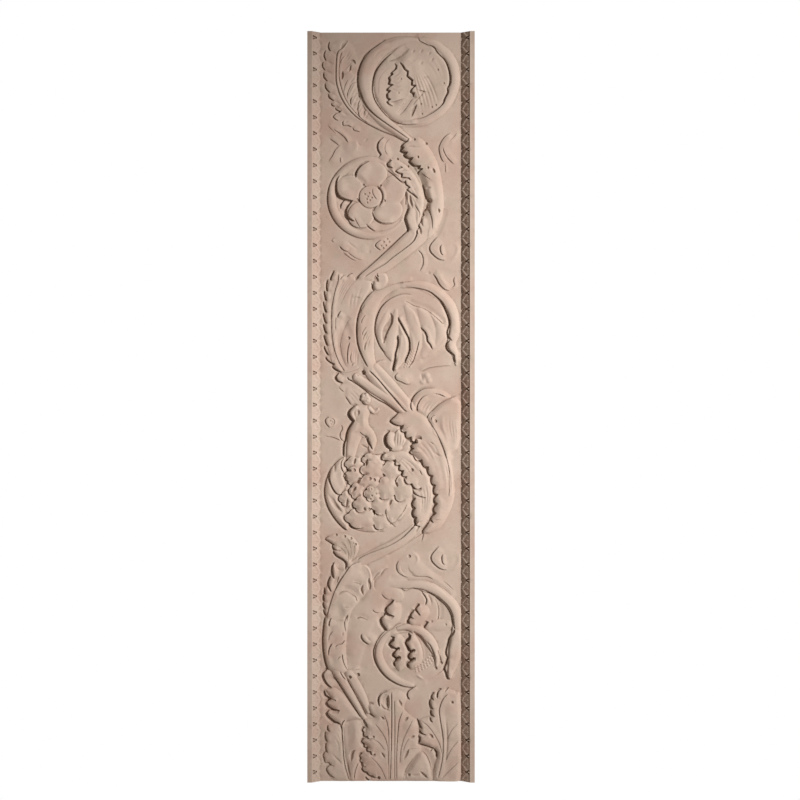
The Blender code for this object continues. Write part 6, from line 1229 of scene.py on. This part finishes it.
    # the leaf between, and the right leaf against the moulding
    patch(r, line(13, 1, 3, 9, 6, 10, 8, 9, 6, -5, 4, -10, 0.5, -13), 0.34, 5, 0.14)
    patch(r, line(56, 92.5, -9, -1.5, -6, -6, -2, -9, 1, -10, -11, -4, -1, -10, 0, -12, 11, -5, 8, -6,
        -3, -13, -1, -15, 26, 0, 1, 79, -5, 10), 0.36, 5, 0.12)
    edge(r, line(30, 32.5, 6, -7, 3.3, -8, 1.4, -8.5, 0, -8), -0.09, 6, (0.07, 0.16, 0.2, 0.13, 0.07), 2.4)
    edge(r, line(58.5, 93.7, -2.5, -2, -2, -2), 0.05, 3, 0.2, 1.8, fade=1.5)
    for tooth in (
            line(51, 92.5, -3.3, -3.2, -1, -6.3), line(43.7, 89, -2.4, -3.7, 1.7, -4),
            line(39.7, 82.3, 0, -4.6, 3, -5.7), line(40.3, 71.7, 0.7, -3.7, 3, -3),
            line(39.3, 64.7, 1, -2.7, 2, -2.7)):
        edge(r, tooth, 0.11, 6, 0.33, 2.8, fade=2)
    edge(r, line(57, 87.7, -4.5, -5.2, -2.8, -7, -0.7, -7.5, 2.7, -18, 1, -11, -0.4, -12, -1.6, -11,
        -3.2, -13), 0.07, 6, (0.1, 0.16, 0.18, 0.14, 0.11, 0.1, 0.08), 2)
    crease(r, line(54.3, 66, 1.4, -12, 0.6, -14, -0.8, -14, -2.5, -14), 2, 0.16)
    for vein in (
            line(68, 58.5, -7, -7, -4.3, -9.5), line(68, 41, -8, -9.5, -5, -10.5),
            line(68, 19.5, -8.5, -8, -8.5, -9), line(30, 61.5, 7.5, -6, 6.5, -9, 5, -9.5, 2.7, -11)):
        edge(r, vein, 0.05, 5, 0.06, 1.7)
    edge(r, line(26.5, 63, 2.5, -5, 2.7, -5), 0.09, 6, 0.36, 2.6, fade=1.5)
    edge(r, line(29, 51.7, 2.5, -3, 4.5, -2), 0.11, 6, (0.4, 0.4, 0.13), 3, fade=1.5)
    edge(r, line(27.3, 46, 2.7, -2, 0, -2.3, -1.5, -3.7, 7.5, -2, 7.5, -3), 0.1, 7,
        (0.36, 0.5, 0.36, 0.24, 0.36), 3, fade=2, smooth=False)
    edge(r, line(43.5, 32.7, 3.2, -4, -0.4, -5.4), 0.09, 6, (0.33, 0.46, 0.33), 3.4, fade=1.5)
    for tail in (
            line(38.5, 47.7, 3.5, -4), line(29.3, 9.7, 7, -6.4), line(60.3, 80, 2, -1.7),
            line(19, 7.7, -2, -2.7)):
        nick(r, tail, 3.6, 0.38)
    crease(r, line(19, 6.7, 5, -0.4, 5, 0.7), 2, 0.14)
    edge(r, line(41.5, 31.5, -2, -2.2), 0.03, 3, 0.2, 1.8, fade=1)
    for lobe in line(60, 72, 2, -23, -1, -19, -25, 24, 2, -13, 7, 21, -19, -46, 38, -6):
        swell(r, lobe, 6, 7, 0, 0.14)


def carve(relief):
    """The whole scroll, laid on from the lowest forms to the highest."""
    for part in (upper_birds, small_things, stem_one, volute_one, five_petals, calyx_two, leaf_three,
                 volute_three, collar_three, putto, stem_four, volute_four, inner_leaf_four, leaf_four,
                 leaf_five, volute_five, fan_leaf, foot_leaves, collar_five):
        part(relief)


def blurred(grid, reach):
    """The grid evened out over a number of its cells, three passes each way."""
    kernel = np.ones(2 * reach + 1) / (2 * reach + 1)
    for axis in (0, 1):
        for _ in range(3):
            pad = [(reach, reach) if a == axis else (0, 0) for a in (0, 1)]
            wide = np.pad(grid, pad, mode="edge")
            grid = np.apply_along_axis(np.convolve, axis, wide, kernel, "valid")
    return grid


def edge_mouldings(across, up, carved, sizes):
    """Plain fillets at the long edges, and the leaf-and-dart moulding that falls from them."""
    x, z = np.meshgrid(across, up)
    width, height = across[-1] - across[0], up[-1] - up[0]
    inward = width / 2 - np.abs(x)

    # v runs over the moulding's width, w over half its pitch, from a dart to a leaf's middle
    v = np.clip((inward - sizes.fillet_width) / sizes.moulding_width, 0, 1)
    count = max(1, round(height / sizes.dart_pitch))
    w = np.abs(np.mod((height - z) / height * count + 0.125, 1) - 0.5)

    # the fall from fillet to ground; each leaf's arched rim and its vein, the dart between two
    # leaves and the groove round the dart's head
    slope = sizes.fillet_rise * ((1 - v) ** 0.9 + 0.04 * np.sin(2 * np.pi * v))
    leaf_line = 0.10 + 0.80 * np.clip(w * 2, 0, 1) ** 0.55
    rim = np.exp(-((v - leaf_line) / 0.13) ** 2) * (w < 0.47)
    vein = np.exp(-((0.5 - w) / 0.04) ** 2) * (v > 0.2)
    dart = np.exp(-(w / 0.035) ** 2) * (v > 0.35)
    mouth = 0.10 * np.clip(1 - (v - 0.05) / 0.45, 0, 1)
    pocket = np.clip(1 - np.abs(w - mouth) / 0.045, 0, 1) * (v > 0.03) * (v < 0.53)
    shape = slope + sizes.dart_depth * (0.3 * rim + 0.17 * vein + 0.15 * dart - 0.2
                                        - 0.8 * np.sqrt(pocket))
    shape = np.where(inward <= sizes.fillet_width, sizes.fillet_rise, np.maximum(shape, 0.0))
    return np.where(inward < sizes.fillet_width + sizes.moulding_width, shape, carved)


def face_heights(across, up, sizes):
    """Heights of the whole face over the ground, in metres, for columns and rows of places."""
    field = across[-1] - across[0] - 2 * (sizes.fillet_width + sizes.moulding_width)
    relief = Relief(across * FIELD_SQUARES / field, up * HEIGHT_SQUARES / (up[-1] - up[0]))
    carve(relief)
    return edge_mouldings(across, up, relief.h * sizes.carving_rise, sizes)


def add(tree, kind, inputs=None, **settings):
    """Adds a node with its settings, and its inputs as values or as sockets to link from."""
    node = tree.nodes.new(kind)
    for name, value in settings.items():
        setattr(node, name, value)
    for key, value in (inputs or {}).items():
        if isinstance(value, bpy.types.NodeSocket):
            tree.links.new(value, node.inputs[key])
        else:
            node.inputs[key].default_value = value
    return node


def tinted_plaster(finish):
    """Gypsum cast in a mould and washed with a rose-buff tint: dry, dull, faintly pitted, with dirt and
    painted shade darkening the hollows and the crests rubbed paler."""
    material = bpy.data.materials.new("Tinted plaster, cast")
    material.use_nodes = True
    tree = material.node_tree
    shader = tree.nodes["Principled BSDF"]
    place = add(tree, "ShaderNodeTexCoord").outputs["Object"]

    # one noise for each scale, all in the panel's own metres
    noises = []
    for size, detail, rough, shift in ((finish.cloud, 5, 0.6, (0, 0, 0)),
                                       (finish.cloud * 0.6, 6, 0.65, (3, 1, 2)),
                                       (finish.grain * 2.5, 4, 0.7, (1, 5, 3)),
                                       (finish.grain * 8, 3, 0.5, (2, 2, 7)),
                                       (finish.grain, 3, 0.6, (4, 1, 1))):
        moved = add(tree, "ShaderNodeMapping", {"Vector": place, "Location": shift})
        noise = add(tree, "ShaderNodeTexNoise",
                    {"Vector": moved.outputs["Vector"], "Scale": 1 / size, "Detail": detail,
                     "Roughness": rough})
        noises.append(noise.outputs["Fac"])
    clouds, patches, speckle, trowel, pits = noises
    crests = add(tree, "ShaderNodeAttribute", attribute_name="crests").outputs["Fac"]
    hollows = add(tree, "ShaderNodeAttribute", attribute_name="hollows").outputs["Fac"]

    # each tint goes on over the last, as far as its own pattern reaches; the last one paints shade, with
    # dirt, into the hollows
    skin = (*finish.body, 1.0)
    for pattern, low, high, most, colour in ((clouds, 0.42, 0.66, 0.75, finish.rose),
                                             (patches, 0.50, 0.72, 0.6, finish.olive),
                                             (speckle, 0.52, 0.75, 0.12, finish.dirt_and_shade),
                                             (crests, 0.05, 1.0, 0.35, finish.rubbed),
                                             (hollows, 0.02, 1.0, 0.32, finish.dirt_and_shade)):
        share = add(tree, "ShaderNodeMapRange",
                    {"Value": pattern, "From Min": low, "From Max": high, "To Max": most},
                    interpolation_type="SMOOTHSTEP").outputs["Result"]
        skin = add(tree, "ShaderNodeMix", {0: share, 6: skin, 7: (*colour, 1.0)},
                   data_type="RGBA").outputs[2]
    tree.links.new(skin, shader.inputs["Base Color"])

    dull = add(tree, "ShaderNodeMapRange",
               {"Value": speckle, "From Min": 0.3, "From Max": 0.7,
                "To Min": finish.roughness - 0.06, "To Max": finish.roughness + 0.08})
    tree.links.new(dull.outputs["Result"], shader.inputs["Roughness"])

    # gypsum's own index, with the sheen that a dusty skin leaves of it
    shader.inputs["IOR"].default_value = 1.52
    shader.inputs["Specular IOR Level"].default_value = 0.2

    trowel = add(tree, "ShaderNodeBump",
                 {"Height": trowel, "Strength": 0.35, "Distance": 0.0015})
    pits = add(tree, "ShaderNodeBump",
               {"Height": pits, "Strength": 0.35, "Distance": 0.0006,
                "Normal": trowel.outputs["Normal"]})
    tree.links.new(pits.outputs["Normal"], shader.inputs["Normal"])
    return material


def corners(mesh):
    """The places of a mesh's vertices, one row each."""
    flat = np.empty(len(mesh.vertices) * 3)
    mesh.vertices.foreach_get("co", flat)
    return flat.reshape(-1, 3)


def nearest(values, low, high, count):
    """For each value, the nearest of so many even stops from low to high."""
    stops = np.rint((values - low) / (high - low) * (count - 1))
    return np.clip(stops, 0, count - 1).astype(int)


def only(thing):
    """Leaves one object selected and active."""
    bpy.ops.object.select_all(action="DESELECT")
    thing.select_set(True)
    bpy.context.view_layer.objects.active = thing


def lamp(kind, name, place, away, power):
    """A lamp of so many watts at a place, with its back to the way that points away from its
    target."""
    bpy.ops.object.light_add(type=kind, location=place)
    light = bpy.context.object
    light.name = name
    light.rotation_euler = away.to_track_quat("Z", "Y").to_euler()
    light.data.energy = power
    return light.data


class CAST_OT_panel(bpy.types.Operator):
    """Carve the panel's face and draw it back to a flat rear, as one closed cast"""
    bl_idname = "cast.panel"
    bl_label = "Carve the Cast"

    def execute(self, context):
        sizes = context.scene.cast_sizes
        width, height = SOLID_HIGH.x - SOLID_LOW.x, SOLID_HIGH.z - SOLID_LOW.z
        columns, rows = int(width / sizes.grid) + 1, int(height / sizes.grid) + 1
        across = np.linspace(-width / 2, width / 2, columns)
        up = np.linspace(0.0, height, rows)
        face = face_heights(across, up, sizes)
        waver = blurred(np.random.default_rng(WAVER_SEED).standard_normal(face.shape),
                        max(1, round(sizes.waver_span / 2 / sizes.grid)))
        face = face + sizes.waver * waver / waver.std()

        bpy.ops.object.select_all(action="DESELECT")
        bpy.ops.mesh.primitive_grid_add(x_subdivisions=columns - 1, y_subdivisions=rows - 1,
                                        size=1.0, location=(0, 0, 0))
        cast = context.object
        cast.name = "carved_panel"
        mesh = cast.data
        flat = corners(mesh)
        column = nearest(flat[:, 0], -0.5, 0.5, columns)
        row = nearest(flat[:, 1], -0.5, 0.5, rows)
        placed = np.column_stack([across[column], SOLID_HIGH.y - sizes.ground_thickness
                                  - face[row, column], SOLID_LOW.z + up[row]])
        mesh.vertices.foreach_set("co", placed.ravel())
        mesh.update()

        only(cast)
        bpy.ops.object.mode_set(mode="EDIT")
        bpy.ops.mesh.select_mode(type="EDGE")
        bpy.ops.mesh.select_all(action="SELECT")
        bpy.ops.mesh.region_to_loop()
        bpy.ops.mesh.extrude_edges_move()
        bpy.ops.transform.resize(value=(1, 0, 1), center_override=(0, SOLID_HIGH.y, 0))
        bpy.ops.mesh.edge_face_add()
        bpy.ops.mesh.select_all(action="SELECT")
        bpy.ops.mesh.quads_convert_to_tris()
        bpy.ops.mesh.normals_make_consistent(inside=False)
        bpy.ops.object.mode_set(mode="OBJECT")

        fewer = cast.modifiers.new("Facets", "DECIMATE")
        fewer.ratio = min(1.0, sizes.facets / len(mesh.polygons))
        bpy.ops.object.modifier_apply(modifier=fewer.name)
        bpy.ops.object.shade_smooth_by_angle(angle=SHARP_ANGLE)
        even = cast.modifiers.new("Even shading", "WEIGHTED_NORMAL")
        even.keep_sharp = True
        bpy.ops.object.modifier_apply(modifier=even.name)

        # dirt and painted shade in the hollows, and rubbed crests: how far a place lies under or over the
        # face evened out round it
        lift = face - blurred(face, max(1, round(sizes.dirt_and_shade_reach / sizes.grid)))
        under = np.clip((-lift - DIRT_AND_SHADE_FROM) / FULL_TINT_DEPTH, 0, 1)
        over = np.clip(lift / FULL_TINT_DEPTH, 0, 1)
        mesh = cast.data
        spots = corners(mesh)
        column = nearest(spots[:, 0], -width / 2, width / 2, columns)
        row = nearest(spots[:, 2], SOLID_LOW.z, SOLID_HIGH.z, rows)
        front = spots[:, 1] < SOLID_HIGH.y - 0.5 * sizes.ground_thickness
        for name, grid in (("hollows", under), ("crests", over)):
            kept = mesh.attributes.new(name, "FLOAT", "POINT")
            kept.data.foreach_set("value", np.where(front, grid[row, column], 0.0))

        mesh.materials.clear()
        mesh.materials.append(tinted_plaster(context.scene.cast_finish))
        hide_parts(SOLID)
        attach(cast, "root")
        return {"FINISHED"}


class CAST_OT_stage(bpy.types.Operator):
    """Set the floor, the lights and the camera"""
    bl_idname = "cast.stage"
    bl_label = "Set the Stage"

    def execute(self, context):
        stage = context.scene.cast_stage
        middle = (SOLID_LOW + SOLID_HIGH) / 2

        # a pale floor under the panel, past the foot of the frame
        bpy.ops.object.select_all(action="DESELECT")
        bpy.ops.mesh.primitive_plane_add(size=1.0)
        floor = context.object
        floor.name = "floor"
        for corner in floor.data.vertices:
            corner.co.x *= FLOOR_SIDE
            corner.co.y = corner.co.y * FLOOR_SIDE - FLOOR_FORWARD
            corner.co.z = SOLID_LOW.z - stage.floor_drop
        pale = bpy.data.materials.new("Pale floor")
        pale.use_nodes = True
        paint = pale.node_tree.nodes["Principled BSDF"].inputs
        paint["Base Color"].default_value = (*rgb("#f2efec"), 1.0)
        paint["Roughness"].default_value = 0.9
        floor.data.materials.append(pale)

        # the room: white behind the panel, dimmer as light on it
        world = bpy.data.worlds.new("Room")
        context.scene.world = world
        world.use_nodes = True
        tree = world.node_tree
        seen = tree.nodes["Background"]
        seen.inputs["Color"].default_value = (1.0, 1.0, 1.0, 1.0)
        seen.inputs["Strength"].default_value = 1.0
        room = add(tree, "ShaderNodeBackground",
                   {"Color": (*rgb("#ffefe0"), 1.0), "Strength": stage.room_strength})
        ray = add(tree, "ShaderNodeLightPath").outputs["Is Camera Ray"]
        both = add(tree, "ShaderNodeMixShader",
                   {0: ray, 1: room.outputs["Background"], 2: seen.outputs["Background"]})
        tree.links.new(both.outputs["Shader"], tree.nodes["World Output"].inputs["Surface"])

        # the key light, from the upper right: near enough to fade towards the panel's ends
        place = middle + Vector(stage.key_place)
        key = lamp("SPOT", "key_light", place, place - middle - Vector(stage.key_aim),
                   stage.key_power)
        key.shadow_soft_size = stage.key_radius
        key.spot_size = stage.key_spread
        key.spot_blend = 1.0

        # a broad soft lamp behind, for the floor and the flat rear; none of it meets the carving
        place = middle + Vector(stage.back_place)
        back = lamp("AREA", "back_light", place, place - middle, stage.back_power)
        back.size = stage.back_size

        # the camera, level and far off
        bpy.ops.object.camera_add()
        camera = context.object
        camera.name = "photo_camera"
        camera.location = (middle.x + stage.camera_aside[0],
                           SOLID_LOW.y - stage.camera_distance,
                           middle.z + stage.camera_aside[1])
        camera.rotation_euler = (math.radians(90), 0, 0)
        camera.data.sensor_width = FILM_WIDTH
        camera.data.lens = FILM_WIDTH * stage.camera_distance / stage.frame_height
        camera.data.clip_end = 100.0
        context.scene.camera = camera
        context.scene.view_settings.view_transform = "Standard"
        context.scene.view_settings.look = "None"
        return {"FINISHED"}


class CAST_PT_sidebar(bpy.types.Panel):
    """Lists the cast's sizes, its finish and the stage"""
    bl_idname = "CAST_PT_sidebar"
    bl_label = "Cast Panel"
    bl_space_type = "VIEW_3D"
    bl_region_type = "UI"
    bl_category = "Cast Panel"

    def draw(self, context):
        scene = context.scene
        for group, operator in ((scene.cast_sizes, CAST_OT_panel.bl_idname),
                                (scene.cast_finish, None),
                                (scene.cast_stage, CAST_OT_stage.bl_idname)):
            box = self.layout.box()
            for name in group.__annotations__:
                box.prop(group, name)
            if operator:
                box.operator(operator)


CLASSES = (CastSizes, CastFinish, StageSizes, CAST_OT_panel, CAST_OT_stage, CAST_PT_sidebar)
GROUPS = {"cast_sizes": CastSizes, "cast_finish": CastFinish, "cast_stage": StageSizes}


def register():
    for cls in CLASSES:
        bpy.utils.register_class(cls)
    for name, group in GROUPS.items():
        setattr(bpy.types.Scene, name, bpy.props.PointerProperty(type=group))


def unregister():
    for name in GROUPS:
        delattr(bpy.types.Scene, name)
    for cls in reversed(CLASSES):
        bpy.utils.unregister_class(cls)


def main():
    register()
    bpy.ops.cast.panel()
    bpy.ops.cast.stage()


if __name__ == "__main__":
    main()
